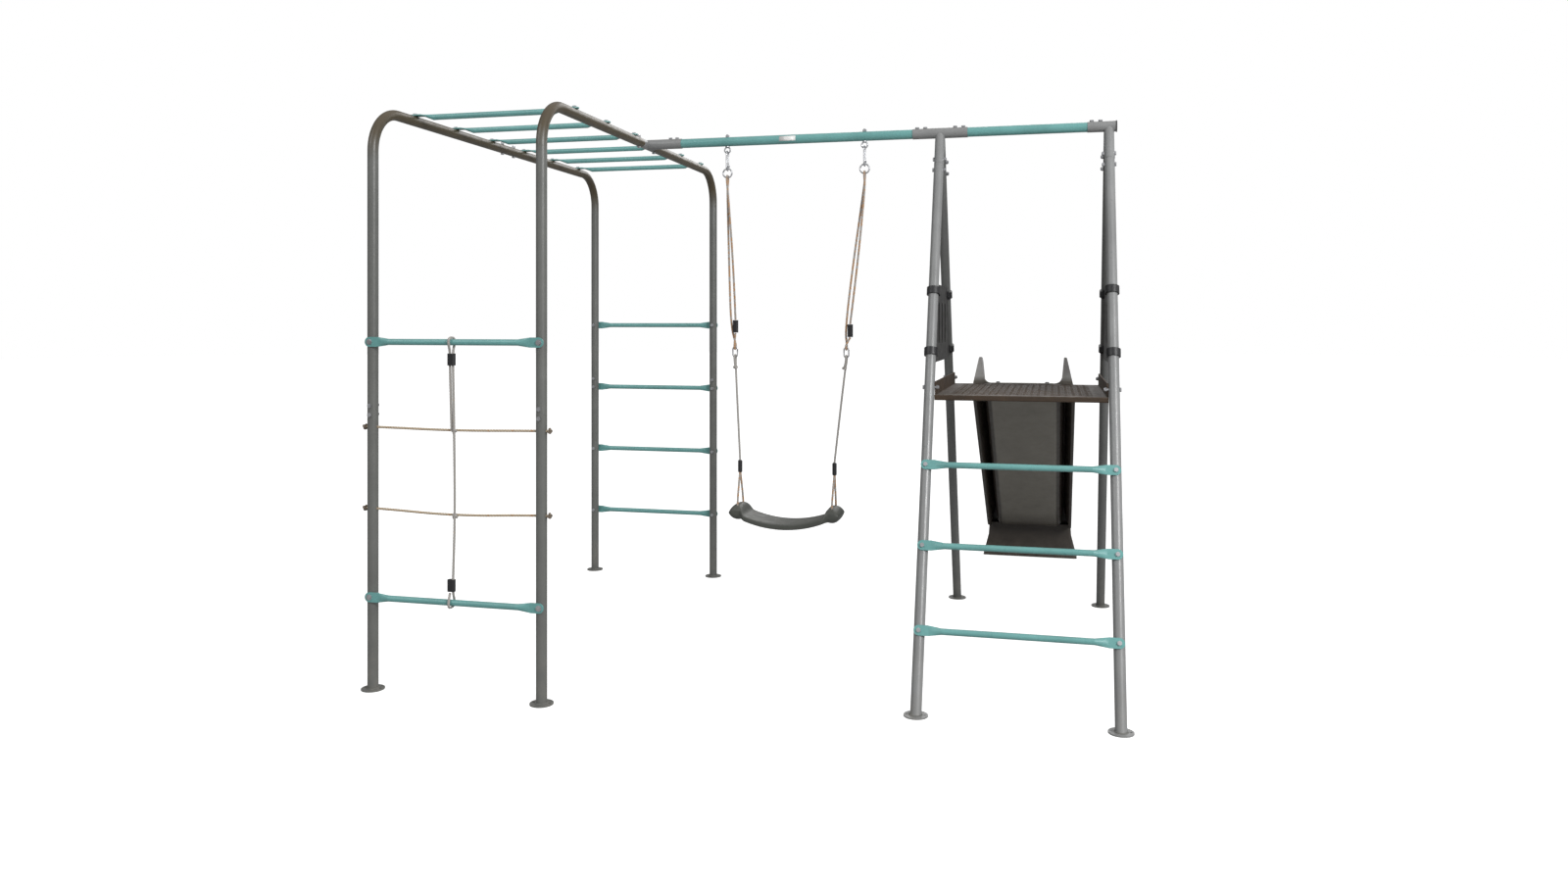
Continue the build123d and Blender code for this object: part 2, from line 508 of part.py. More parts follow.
low_end_plane = Plane(origin=slide_path @ 1, x_dir=(-1, 0, 0), z_dir=slide_path % 1)
for s in (-1, 1):
    end_outline = Polygon(*[(s * u, w) for u, w in wall_end], align=None)
    slide += extrude(section_plane * end_outline, SLIDE_SKIN, dir=(0, 1, 0))
    slide += extrude(low_end_plane * end_outline, SLIDE_SKIN, dir=(0, -1, 0))
foot_y = Y_SLIDE_END - SLIDE_FOOT_DEPTH / 2
FOOT_WAIST_Z, FOOT_WALL = 108.0, 6.0


def foot_level(z, half_width, depth):
    return Pos(slide_x, foot_y, z) * Rectangle(2 * half_width, depth)


def foot_solid(levels):
    """A stack of straight-sided blocks through (z, half width, depth) levels."""
    body = None
    for lower, upper in zip(levels, levels[1:]):
        block = loft([foot_level(*lower), foot_level(*upper)], ruled=True)
        body = block if body is None else body + block
    return body


waist_half, waist_depth = SLIDE_HALF_WIDTH + 2, SLIDE_FOOT_DEPTH - 14
neck_half, neck_depth = SLIDE_HALF_WIDTH - 1, SLIDE_FOOT_DEPTH - 18
foot = foot_solid([(0, SLIDE_FOOT_HALF, SLIDE_FOOT_DEPTH), (FOOT_WAIST_Z, waist_half, waist_depth),
                   (SLIDE_END_Z - SLIDE_RIM_DROP - 2, neck_half, neck_depth)])
hollow = foot_solid([(-1, SLIDE_FOOT_HALF - FOOT_WALL, SLIDE_FOOT_DEPTH - 2 * FOOT_WALL),
                     (FOOT_WAIST_Z, waist_half - FOOT_WALL, waist_depth - 2 * FOOT_WALL),
                     (SLIDE_END_Z - SLIDE_RIM_DROP - 9, neck_half - FOOT_WALL, neck_depth - 2 * FOOT_WALL)])
slide = slide + (foot - hollow)
slide += Pos(slide_x, deck_to - 17, DECK_TOP_Z + 2.4) * Box(2 * SLIDE_BED_HALF - 12, 40, 4)
slide -= [cross_hole((slide_x + s * LIP_BOLT_DX, lip_bolt_y, DECK_TOP_Z), (0, 0, 1)) for s in (-1, 1)]
add("slide", slide)
for s in (-1, 1):
    frame_bolts += bolt((slide_x + s * LIP_BOLT_DX, lip_bolt_y, DECK_TOP_Z + 4.4), (0, 0, -1),
                        DECK_THICKNESS + 4.4)

# ---- rope net -----------------------------------------------------------------------------
net_x = (X_LEFT + X_RIGHT) / 2 - 3
knot_reach = UNIT_WIDTH / 2 + TUBE_R + KNOT_D / 2 + 0.4
unit_x = (X_LEFT + X_RIGHT) / 2
net_clearance = []
for name, z, dip in (("net_rope_upper", NET_ROPE_UPPER_Z, 6), ("net_rope_lower", NET_ROPE_LOWER_Z, 13)):
    route = [(unit_x - knot_reach, Y_FRONT, z), (unit_x - 272, Y_FRONT, z),
             (net_x, Y_FRONT, z - dip), (unit_x + 272, Y_FRONT, z), (unit_x + knot_reach, Y_FRONT, z)]
    body, length = rope(route, corner_radii(route))
    net_clearance.append(rope(route, corner_radii(route), ROPE_D + 0.3)[0])
    print(name, "length", round(length), "radii", [round(r) for r in corner_radii(route)])
    knots = [Pos(unit_x + s * knot_reach, Y_FRONT, z) * Sphere(KNOT_D / 2) for s in (-1, 1)]
    add(name, body + knots)

bar_y = front_face - TAB_THICKNESS / 2
wrap = RUNG_D / 2 + ROPE_D / 2 + 0.8
NET_FRONT = ROPE_D + 0.6
clamp_top_z = NET_BAR_TOP_Z - RUNG_D / 2 - 24
clamp_low_z = NET_BAR_BOTTOM_Z + RUNG_D / 2 + 24
CLAMP_BLOCK_HEIGHT = 42.0
STRAND = 5.5
BAR_LOOP_HALF = 18.0
up_wrap = [(net_x - STRAND, bar_y, clamp_top_z + 5), (net_x, bar_y - BAR_LOOP_HALF, NET_BAR_TOP_Z - 8),
           (net_x, bar_y - BAR_LOOP_HALF, NET_BAR_TOP_Z + wrap),
           (net_x, bar_y + BAR_LOOP_HALF, NET_BAR_TOP_Z + wrap),
           (net_x, bar_y + BAR_LOOP_HALF, NET_BAR_TOP_Z - 8), (net_x + STRAND, bar_y, clamp_top_z + 5)]
down_wrap = [(net_x + STRAND, bar_y, clamp_low_z - 5), (net_x, bar_y + BAR_LOOP_HALF, NET_BAR_BOTTOM_Z + 8),
             (net_x, bar_y + BAR_LOOP_HALF, NET_BAR_BOTTOM_Z - wrap),
             (net_x, bar_y - BAR_LOOP_HALF, NET_BAR_BOTTOM_Z - wrap),
             (net_x, bar_y - BAR_LOOP_HALF, NET_BAR_BOTTOM_Z + 8), (net_x - STRAND, bar_y, clamp_low_z - 5)]
net_route = [(net_x - 6, Y_FRONT - NET_FRONT, NET_ROPE_UPPER_Z - 2),
             (net_x - STRAND, bar_y, clamp_top_z - CLAMP_BLOCK_HEIGHT)] + up_wrap
net_route += [(net_x + STRAND, bar_y, clamp_top_z - CLAMP_BLOCK_HEIGHT),
              (net_x + 3, Y_FRONT - NET_FRONT, NET_ROPE_UPPER_Z - 2),
              (net_x + 6, Y_FRONT - NET_FRONT, NET_ROPE_LOWER_Z - 12),
              (net_x + STRAND, bar_y, clamp_low_z + CLAMP_BLOCK_HEIGHT)] + down_wrap
net_radii = corner_radii(net_route, {2: 11, 7: 11, 12: 11})
vertical, length = rope(net_route, net_radii)
print("net_rope_vertical length", round(length), "radii", [round(r, 1) for r in net_radii])
knots = [Pos(net_x + 1, Y_FRONT - NET_FRONT + 1, NET_ROPE_UPPER_Z - 6) * Sphere(KNOT_D / 2),
         Pos(net_x + 5, Y_FRONT - NET_FRONT + 1, NET_ROPE_LOWER_Z - 13) * Sphere(KNOT_D / 2)]
add("net_rope_vertical", vertical + knots - net_clearance)
net_clamps = []
for z in (clamp_top_z - CLAMP_BLOCK_HEIGHT / 2, clamp_low_z + CLAMP_BLOCK_HEIGHT / 2):
    block = Pos(net_x, bar_y, z) * Box(26, 17, CLAMP_BLOCK_HEIGHT - 4)
    block = fillet(block.edges().filter_by(Axis.Z), 7)
    bores = [rod((net_x + s * STRAND, bar_y, z - 30), (net_x + s * STRAND, bar_y, z + 30), ROPE_D / 2 + 1.0)
             for s in (-1, 1)]
    net_clamps.append(block - bores)
add("net_clamps", *net_clamps)

# ---- swing --------------------------------------------------------------------------------
seat_x = X_RIGHT + SEAT_CENTRE_OFFSET
rope_wrap = ROPE_D / 2 + 0.6
LOOP_HALF = 10.0
LOOP_LEG = 14.0
eye_bolts, hooks, rings, links, adjusters, crimps = [], [], [], [], [], []
NUT_ON_TOP = 7.0

for hand, x, seat_side in (("left", hanger_xs[0], -1), ("right", hanger_xs[1], 1)):
    eye_centre = Vector(x, Y_BEAM, EYE_Z + EYE_R)
    beam_under = FRAME_HEIGHT - TUBE_R
    eye = Plane(origin=eye_centre, z_dir=(0, 1, 0)) * Torus(EYE_R, WIRE_R)
    shank_top = FRAME_HEIGHT + TUBE_R + NUT_ON_TOP
    eye += rod((x, Y_BEAM, EYE_Z + 2 * EYE_R), (x, Y_BEAM, shank_top), BOLT_D / 2)
    eye += rod((x, Y_BEAM, beam_under - 4), (x, Y_BEAM, beam_under - 0.3), BOLT_D)
    nut = extrude(Pos(x, Y_BEAM, FRAME_HEIGHT + TUBE_R) * RegularPolygon(HEX_RADIUS, 6), NUT_ON_TOP)
    nut_top = Pos(x, Y_BEAM, FRAME_HEIGHT + TUBE_R + NUT_ON_TOP)
    nut += nut_top * Cone(6, 3.5, 4, align=(Align.CENTER, Align.CENTER, Align.MIN))
    nut -= rod((x, Y_BEAM, FRAME_HEIGHT), (x, Y_BEAM, shank_top + 0.2), BOLT_D / 2 + 0.1)
    eye_bolts += [eye, nut]

    # snap hook: an open oval of wire in the YZ plane, closed by a sprung gate at the back
    top_z = EYE_Z + 2 * WIRE_R + 0.5
    low_z = RING_TOP_Z - 2 * WIRE_R - 0.5
    w = HOOK_HALF_WIDTH
    nose_z, pivot_z = top_z - w - 5, low_z + w + 5
    with BuildLine() as oval:
        Line((x, Y_BEAM + w, nose_z), (x, Y_BEAM + w, top_z - w))
        ThreePointArc((x, Y_BEAM + w, top_z - w), (x, Y_BEAM, top_z), (x, Y_BEAM - w, top_z - w))
        Line((x, Y_BEAM - w, top_z - w), (x, Y_BEAM - w, low_z + w))
        ThreePointArc((x, Y_BEAM - w, low_z + w), (x, Y_BEAM, low_z), (x, Y_BEAM + w, low_z + w))
        Line((x, Y_BEAM + w, low_z + w), (x, Y_BEAM + w, pivot_z))
    hook = swept(oval.wire(), Circle(WIRE_R))
    cheek = Pos(x, Y_BEAM + w, pivot_z - 1) * Box(9, 8, 8)
    hook += cheek
    hook -= Pos(x, Y_BEAM + w, pivot_z + 1) * Box(5.6, 12, 9)
    hook -= rod((x - 8, Y_BEAM + w, pivot_z), (x + 8, Y_BEAM + w, pivot_z), 1.25)
    hooks.append(hook)
    gate = rod((x, Y_BEAM + w, pivot_z), (x, Y_BEAM + w, nose_z - 1.0), 2.4)
    gate += Pos(x, Y_BEAM + w, pivot_z) * Rot(0, 90, 0) * Cylinder(2.4, 4.8)
    gate += rod((x - 4.4, Y_BEAM + w, pivot_z), (x + 4.4, Y_BEAM + w, pivot_z), 1.2)
    add(f"hook_gate_{hand}", gate)

    ring_centre = Vector(x, Y_BEAM, RING_TOP_Z - RING_R)
    rings.append(Plane(origin=ring_centre, z_dir=(0, 1, 0)) * Torus(RING_R, WIRE_R))

    # upper rope loop: over the ring's lower wire and under the link's upper wire
    seat_rope_x = seat_x + seat_side * SEAT_HALF_PITCH
    slope = (seat_rope_x - x) / (RING_BOTTOM_Z - CRIMP_BOTTOM_Z)

    def line_x(z):
        return x + slope * (RING_BOTTOM_Z - z)

    link_x = line_x((LINK_TOP_Z + LINK_BOTTOM_Z) / 2)
    reach = WIRE_R + rope_wrap
    link_reach = LINK_WIRE_R + rope_wrap
    adjuster_z = 1184.0 if seat_side < 0 else 1168.0
    adjuster_half = 24.0
    strand = 13.0
    adj_x = line_x(adjuster_z) + 6
    upper_route = [
        (adj_x, Y_BEAM, adjuster_z + adjuster_half + 1.0), (line_x(1400) + 9, Y_BEAM - 2, 1400),
        (x + 3, Y_BEAM - 6, RING_BOTTOM_Z - 48), (x, Y_BEAM - LOOP_HALF, RING_BOTTOM_Z - LOOP_LEG),
        (x, Y_BEAM - LOOP_HALF, RING_BOTTOM_Z + reach), (x, Y_BEAM + LOOP_HALF, RING_BOTTOM_Z + reach),
        (x, Y_BEAM + LOOP_HALF, RING_BOTTOM_Z - LOOP_LEG), (x - 3, Y_BEAM + 6, RING_BOTTOM_Z - 48),
        (line_x(1400) - 10, Y_BEAM + 3, 1400), (line_x(adjuster_z) - strand, Y_BEAM + 2, adjuster_z),
        (link_x, Y_BEAM + LOOP_HALF, LINK_TOP_Z + LOOP_LEG - 2),
        (link_x, Y_BEAM + LOOP_HALF, LINK_TOP_Z - link_reach),
        (link_x, Y_BEAM - LOOP_HALF, LINK_TOP_Z - link_reach),
        (link_x, Y_BEAM - LOOP_HALF, LINK_TOP_Z + LOOP_LEG - 2),
        (adj_x, Y_BEAM - 1, adjuster_z - adjuster_half - 2.2)]
    radii = corner_radii(upper_route)
    body, length = rope(upper_route, radii)
    print("swing_rope_upper_" + hand, "length", round(length), "radii", [round(r, 1) for r in radii])
    add(f"swing_rope_upper_{hand}", body)

    block = Pos(adj_x, Y_BEAM, adjuster_z) * Box(20, 17, 2 * adjuster_half)
    adjusters.append(fillet(block.edges().filter_by(Axis.Z), 6))

    with BuildLine() as oblong:
        link_left, link_right = link_x - LINK_R, link_x + LINK_R
        arc_low, arc_high = LINK_BOTTOM_Z + LINK_R, LINK_TOP_Z - LINK_R
        Line((link_left, Y_BEAM, arc_high), (link_left, Y_BEAM, arc_low))
        ThreePointArc((link_left, Y_BEAM, arc_low), (link_x, Y_BEAM, LINK_BOTTOM_Z),
                      (link_right, Y_BEAM, arc_low))
        Line((link_right, Y_BEAM, arc_low), (link_right, Y_BEAM, arc_high))
        ThreePointArc((link_right, Y_BEAM, arc_high), (link_x, Y_BEAM, LINK_TOP_Z),
                      (link_left, Y_BEAM, arc_high))
    links.append(swept(oblong.wire(), Circle(LINK_WIRE_R)))

    # lower rope: an eye on the link, a knot, and one straight fall to the crimp
    crimp_x = line_x((CRIMP_TOP_Z + CRIMP_BOTTOM_Z) / 2)
    knot_z = LINK_BOTTOM_Z - 40
    fall_x = line_x(knot_z)
    lower_route = [(fall_x - 1, Y_BEAM - 4, knot_z), (link_x, Y_BEAM - LOOP_HALF, LINK_BOTTOM_Z - LOOP_LEG),
                   (link_x, Y_BEAM - LOOP_HALF, LINK_BOTTOM_Z + link_reach),
                   (link_x, Y_BEAM + LOOP_HALF, LINK_BOTTOM_Z + link_reach),
                   (link_x, Y_BEAM + LOOP_HALF, LINK_BOTTOM_Z - LOOP_LEG), (fall_x, Y_BEAM, knot_z - 12),
                   (crimp_x, Y_BEAM, CRIMP_TOP_Z + 0.4)]
    radii = corner_radii(lower_route)
    body, length = rope(lower_route, radii)
    print("swing_rope_lower_" + hand, "length", round(length), "radii", [round(r, 1) for r in radii])
    add(f"swing_rope_lower_{hand}", body + Pos(fall_x, Y_BEAM, knot_z) * Sphere(KNOT_D / 2 - 1))

    barrel = rod((crimp_x, Y_BEAM, CRIMP_BOTTOM_Z), (crimp_x, Y_BEAM, CRIMP_TOP_Z), CRIMP_D / 2)
    barrel = fillet(barrel.edges(), 3)
    crimps.append(barrel)

    # seat loop: two strands from the crimp through the seat's end and under it
    hole = SEAT_HOLE_HALF_PITCH
    lump_z = SEAT_TOP_Z - SEAT_THICKNESS / 2 + SEAT_RISE
    groove_z = lump_z - SEAT_LUMP_R + 9
    loop_route = [(crimp_x, Y_BEAM - 4.2, CRIMP_BOTTOM_Z - 1), (seat_rope_x, Y_BEAM - hole, lump_z + 42),
                  (seat_rope_x, Y_BEAM - hole, groove_z + 8), (seat_rope_x, Y_BEAM - hole + 6, groove_z),
                  (seat_rope_x, Y_BEAM + hole - 6, groove_z), (seat_rope_x, Y_BEAM + hole, groove_z + 8),
                  (seat_rope_x, Y_BEAM + hole, lump_z + 42), (crimp_x, Y_BEAM + 4.2, CRIMP_BOTTOM_Z - 1)]
    radii = corner_radii(loop_route, {1: 60, 6: 60})
    body, length = rope(loop_route, radii)
    print("seat_loop_" + hand, "length", round(length), "radii", [round(r, 1) for r in radii])
    add(f"seat_loop_{hand}", body)

add("eye_bolts", *eye_bolts)
add("snap_hooks", *hooks)
add("swing_rings", *rings)
add("rope_adjusters", *adjusters)
add("rope_links", *links)
add("rope_crimps", *crimps)

seat_mid_z = SEAT_TOP_Z - SEAT_THICKNESS / 2
seat_half = SEAT_HALF_PITCH + 8
seat_arc = ThreePointArc((seat_x - seat_half, Y_BEAM, seat_mid_z + SEAT_RISE), (seat_x, Y_BEAM, seat_mid_z),
                         (seat_x + seat_half, Y_BEAM, seat_mid_z + SEAT_RISE))
seat_start = Plane(origin=seat_arc @ 0, x_dir=(0, 1, 0), z_dir=seat_arc % 0)
seat = sweep(seat_start * RectangleRounded(SEAT_DEPTH, SEAT_THICKNESS, 11), path=seat_arc)
for s in (-1, 1):
    lump_x = seat_x + s * SEAT_HALF_PITCH
    lump = Pos(lump_x, Y_BEAM, lump_z) * Rot(90, 0, 0) * Cylinder(SEAT_LUMP_R, SEAT_LUMP_LENGTH)
    seat += fillet(lump.edges().filter_by(GeomType.CIRCLE), 14)
for s in (-1, 1):
    lump_x = seat_x + s * SEAT_HALF_PITCH
    for t in (-1, 1):
        seat -= rod((lump_x, Y_BEAM + t * hole, lump_z - 50), (lump_x, Y_BEAM + t * hole, lump_z + 50),
                    ROPE_D / 2 + 2)
    seat -= Pos(lump_x, Y_BEAM, groove_z - 25 + ROPE_D / 2 + 2) * Box(ROPE_D + 4, 2 * hole, 50)
add("swing_seat", seat)

add("rung_bolts", *rung_bolts)
add("frame_bolts", *frame_bolts)

os.makedirs("parts", exist_ok=True)
for name, shape in parts.items():
    export_step(shape, f"parts/{name}.step")
print(len(parts), "parts written")
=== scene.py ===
"""Ropes, moulded parts, fittings, finishes and studio for the garden climbing frame."""

import math

import bmesh
import bpy
from mathutils import Matrix, Vector

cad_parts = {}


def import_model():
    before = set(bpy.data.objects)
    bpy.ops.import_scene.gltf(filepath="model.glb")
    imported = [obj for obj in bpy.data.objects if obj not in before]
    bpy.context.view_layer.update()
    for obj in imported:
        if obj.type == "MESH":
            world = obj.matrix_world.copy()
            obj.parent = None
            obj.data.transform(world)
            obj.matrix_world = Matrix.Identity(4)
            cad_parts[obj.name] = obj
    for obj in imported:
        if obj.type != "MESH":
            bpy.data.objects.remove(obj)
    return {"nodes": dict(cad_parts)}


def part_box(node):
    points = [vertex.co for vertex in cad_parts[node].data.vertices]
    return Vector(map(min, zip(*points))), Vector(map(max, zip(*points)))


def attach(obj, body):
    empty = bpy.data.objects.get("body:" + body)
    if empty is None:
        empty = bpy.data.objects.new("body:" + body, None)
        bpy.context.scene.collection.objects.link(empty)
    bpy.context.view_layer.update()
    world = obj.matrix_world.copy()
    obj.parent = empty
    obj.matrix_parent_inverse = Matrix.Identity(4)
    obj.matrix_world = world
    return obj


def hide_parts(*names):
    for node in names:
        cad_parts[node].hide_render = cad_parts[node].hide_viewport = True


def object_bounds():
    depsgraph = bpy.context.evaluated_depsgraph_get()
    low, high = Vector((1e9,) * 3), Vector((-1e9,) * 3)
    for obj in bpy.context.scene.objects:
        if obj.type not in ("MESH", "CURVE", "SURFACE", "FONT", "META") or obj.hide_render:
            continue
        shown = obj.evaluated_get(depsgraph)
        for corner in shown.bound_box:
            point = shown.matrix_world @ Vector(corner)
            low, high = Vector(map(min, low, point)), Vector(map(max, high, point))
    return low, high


bl_info = {
    "name": "Garden Climbing Frame",
    "version": (1, 0, 0),
    "blender": (4, 5, 0),
    "location": "View3D > Sidebar > Climbing Frame",
    "description": "Ropes, moulded parts, fittings, finishes and studio for a climbing frame",
    "category": "Object",
}

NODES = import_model()["nodes"]
MM = 0.001
CAD_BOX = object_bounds()

BEAM_LOW, BEAM_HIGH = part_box("swing_beam")
BEAM_Y = (BEAM_LOW.y + BEAM_HIGH.y) / 2
BEAM_Z = (BEAM_LOW.z + BEAM_HIGH.z) / 2
TUBE_RADIUS = (BEAM_HIGH.z - BEAM_LOW.z) / 2
DECK_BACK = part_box("deck")[1].y
SLIDE_LOW, SLIDE_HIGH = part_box("slide")
SLIDE_X = (SLIDE_LOW.x + SLIDE_HIGH.x) / 2
SEAT_LOW, SEAT_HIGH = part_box("swing_seat")
SEAT_X = (SEAT_LOW.x + SEAT_HIGH.x) / 2
ROPE_DIAMETER = 8 * MM


def linear(red, green, blue):
    """A screen colour from 0 to 255 as the linear colour that shaders take."""
    def channel(value):
        value /= 255
        return value / 12.92 if value <= 0.04045 else ((value + 0.055) / 1.055) ** 2.4
    return channel(red), channel(green), channel(blue)


# ---- settings ------------------------------------------------------------------------------

def colour(name, description, default):
    """A colour setting."""
    return bpy.props.FloatVectorProperty(
        name=name, description=description, default=default, subtype="COLOR", size=3, min=0, max=1)


def distance(name, description, default, low=0.0, high=10.0):
    """A length setting, in metres."""
    return bpy.props.FloatProperty(
        name=name, description=description, default=default, min=low, max=high,
        subtype="DISTANCE", unit="LENGTH", precision=4)


class FinishSettings(bpy.types.PropertyGroup):
    """Colours of the paints, plastics, metals and ropes."""
    post: colour("Post paint", "Powder coat of the monkey-bar posts", linear(109, 110, 107))
    # Painted shade: a dark brown-grey for the rails up top, whose undersides are in shade.
    rail_shade: colour("Rail paint with painted shade", "Powder coat of the monkey-bar rails", linear(82, 72, 54))
    tower: colour("Tower paint", "Powder coat of the tower legs and couplers", linear(137, 138, 138))
    # Painted shade: a darker grey for the tower's back legs, which stand in shade behind the front ones.
    tower_back_shade: colour("Tower back painted shade", "Powder coat of the tower's back legs", linear(98, 99, 98))
    teal: colour("Rung paint", "Powder coat of rungs, net bars and beam", linear(109, 166, 163))
    zinc: colour("Zinc", "Plated bolts, hooks and rings", linear(196, 197, 200))
    black: colour("Black plastic", "Clamps, adjusters and caps", linear(38, 38, 40))
    guard: colour("Guard plastic", "Side guards of the platform", linear(20, 18, 16))
    deck: colour("Deck plastic", "Moulded platform", linear(58, 43, 28))
    # Painted shade: a dark colour for the slide's side walls below the deck and for its low end and foot,
    # which lie in shade.
    slide_wall_shade: colour("Slide wall painted shade", "Side walls and foot of the slide", linear(56, 50, 44))
    slide: colour("Slide plastic", "Moulded slide", linear(123, 119, 111))
    seat: colour("Swing plastic", "Moulded swing seat", linear(76, 78, 73))
    tan_rope: colour("Tan rope", "Cross ropes of the net", linear(190, 172, 146))
    grey_rope: colour("Grey rope", "Swing ropes and the net's long rope", linear(172, 168, 163))
    dark_rope: colour("Knot rope", "Stopper knots outside the posts", linear(112, 99, 86))
    orange_rope: colour("Rope tint", "Rust-coloured yarns of the swing ropes", linear(186, 146, 108))


class RopeSettings(bpy.types.PropertyGroup):
    """Lay of the three-strand ropes."""
    diameter: distance("Diameter", "Outside diameter of every rope", ROPE_DIAMETER, 0.004, 0.016)
    lay: distance("Lay length", "Length over which a strand goes once round", 30 * MM, 0.01, 0.1)
    step: distance("Step", "Distance between two rings of points", 2.2 * MM, 0.001, 0.01)
    sides: bpy.props.IntProperty(
        name="Sides", description="Points round a rope, a multiple of three", default=24, min=12, max=48)


LENS_SHIFT = -0.0756            # share of the sensor's width


class StageSettings(bpy.types.PropertyGroup):
    """Camera, lamps and floor."""
    camera_place: bpy.props.FloatVectorProperty(
        name="Camera place", description="Where the camera stands", default=(0.9872, -4.5188, 1.1991),
        subtype="TRANSLATION", unit="LENGTH")
    camera_turn: bpy.props.FloatProperty(
        name="Camera turn", description="Heading of the level camera", default=0.2398,
        subtype="ANGLE", unit="ROTATION")
    lens: bpy.props.FloatProperty(
        name="Lens", description="Focal length in millimetres", default=25.36, min=10, max=200)
    key_power: bpy.props.FloatProperty(
        name="Key power", description="Watts of the large soft lamp", default=230.0, min=0, max=2000)
    world_strength: bpy.props.FloatProperty(
        name="World strength", description="Strength of the white surroundings", default=0.8, min=0, max=4)


SETTINGS = {"climb_finishes": FinishSettings, "climb_ropes": RopeSettings, "climb_stage": StageSettings}


# ---- node helpers --------------------------------------------------------------------------

def node(tree, kind, inputs=None, **settings):
    """A new node with its settings, and its inputs set or linked."""
    made = tree.nodes.new(kind)
    for key, value in settings.items():
        setattr(made, key, value)
    for key, value in (inputs or {}).items():
        if isinstance(value, bpy.types.NodeSocket):
            tree.links.new(value, made.inputs[key])
        else:
            made.inputs[key].default_value = value
    return made


def mix(tree, factor, a, b, blend="MIX"):
    """Two colours mixed, as an output socket."""
    made = node(tree, "ShaderNodeMix", {0: factor, 6: a, 7: b}, data_type="RGBA", blend_type=blend)
    return made.outputs[2]


def math_node(tree, operation, *values, clamp=False):
    """One sum, as an output socket."""
    made = node(tree, "ShaderNodeMath", dict(enumerate(values)), operation=operation, use_clamp=clamp)
    return made.outputs[0]


def times(tree, a, b, clamp=False):
    """A product, as an output socket."""
    return math_node(tree, "MULTIPLY", a, b, clamp=clamp)


def noise(tree, vector, scale, detail=2.0, rough=0.5):
    """A noise value between 0 and 1, as an output socket."""
    made = node(tree, "ShaderNodeTexNoise",
                {"Vector": vector, "Scale": scale, "Detail": detail, "Roughness": rough})
    return made.outputs["Fac"]


def spread(tree, value, low, high, to_low=0.0, to_high=1.0):
    """A value stretched from one range to another, as an output socket."""
    made = node(tree, "ShaderNodeMapRange", {"Value": value, "From Min": low, "From Max": high,
                                             "To Min": to_low, "To Max": to_high})
    return made.outputs["Result"]


def object_place(tree):
    """The place on the object, as an output socket."""
    return node(tree, "ShaderNodeTexCoord").outputs["Object"]


def along_axis(tree, vector, axis):
    """One part of a vector, as an output socket."""
    return node(tree, "ShaderNodeSeparateXYZ", {0: vector}).outputs[axis]


def shaded(tree, colour, gain):
    """A colour made lighter or darker, as an output socket."""
    return node(tree, "ShaderNodeVectorMath", {0: colour, 1: gain}, operation="MULTIPLY").outputs[0]


FLOAT, COLOUR, VECTOR = "NodeSocketFloat", "NodeSocketColor", "NodeSocketVector"


def shader_group(name, inputs, outputs):
    """An empty shader node group, with the sockets of its inputs and its output node."""
    tree = bpy.data.node_groups.new(name, "ShaderNodeTree")
    for label, kind, default in inputs:
        socket = tree.interface.new_socket(label, in_out="INPUT", socket_type=kind)
        socket.default_value = default
    for label, kind in outputs:
        tree.interface.new_socket(label, in_out="OUTPUT", socket_type=kind)
    return tree, tree.nodes.new("NodeGroupInput").outputs, tree.nodes.new("NodeGroupOutput")


def feed(tree, target, **sockets):
    """Links sockets to a node's inputs, with _ for a space in a name."""
    for label, socket in sockets.items():
        tree.links.new(socket, target.inputs[label.replace("_", " ")])


def end_mask(tree, given, result, whole, patch):
    """Ends an effect in its mask: the whole of it, in patches, as strong as its Amount."""
    mask = times(tree, times(tree, whole, patch), given["Amount"], clamp=True)
    feed(tree, result, Mask=mask)


def end_surface(tree, given, result, tint, uneven, height, depth):
    """Ends an effect in its colour, its uneven gloss and its relief."""
    rough = math_node(tree, "ADD", given["Gloss roughness"], uneven, clamp=True)
    bump = node(tree, "ShaderNodeBump", {"Height": height, "Strength": given[depth], "Distance": 0.0006})
    feed(tree, result, Colour=tint, Roughness=rough, Normal=bump.outputs[0])


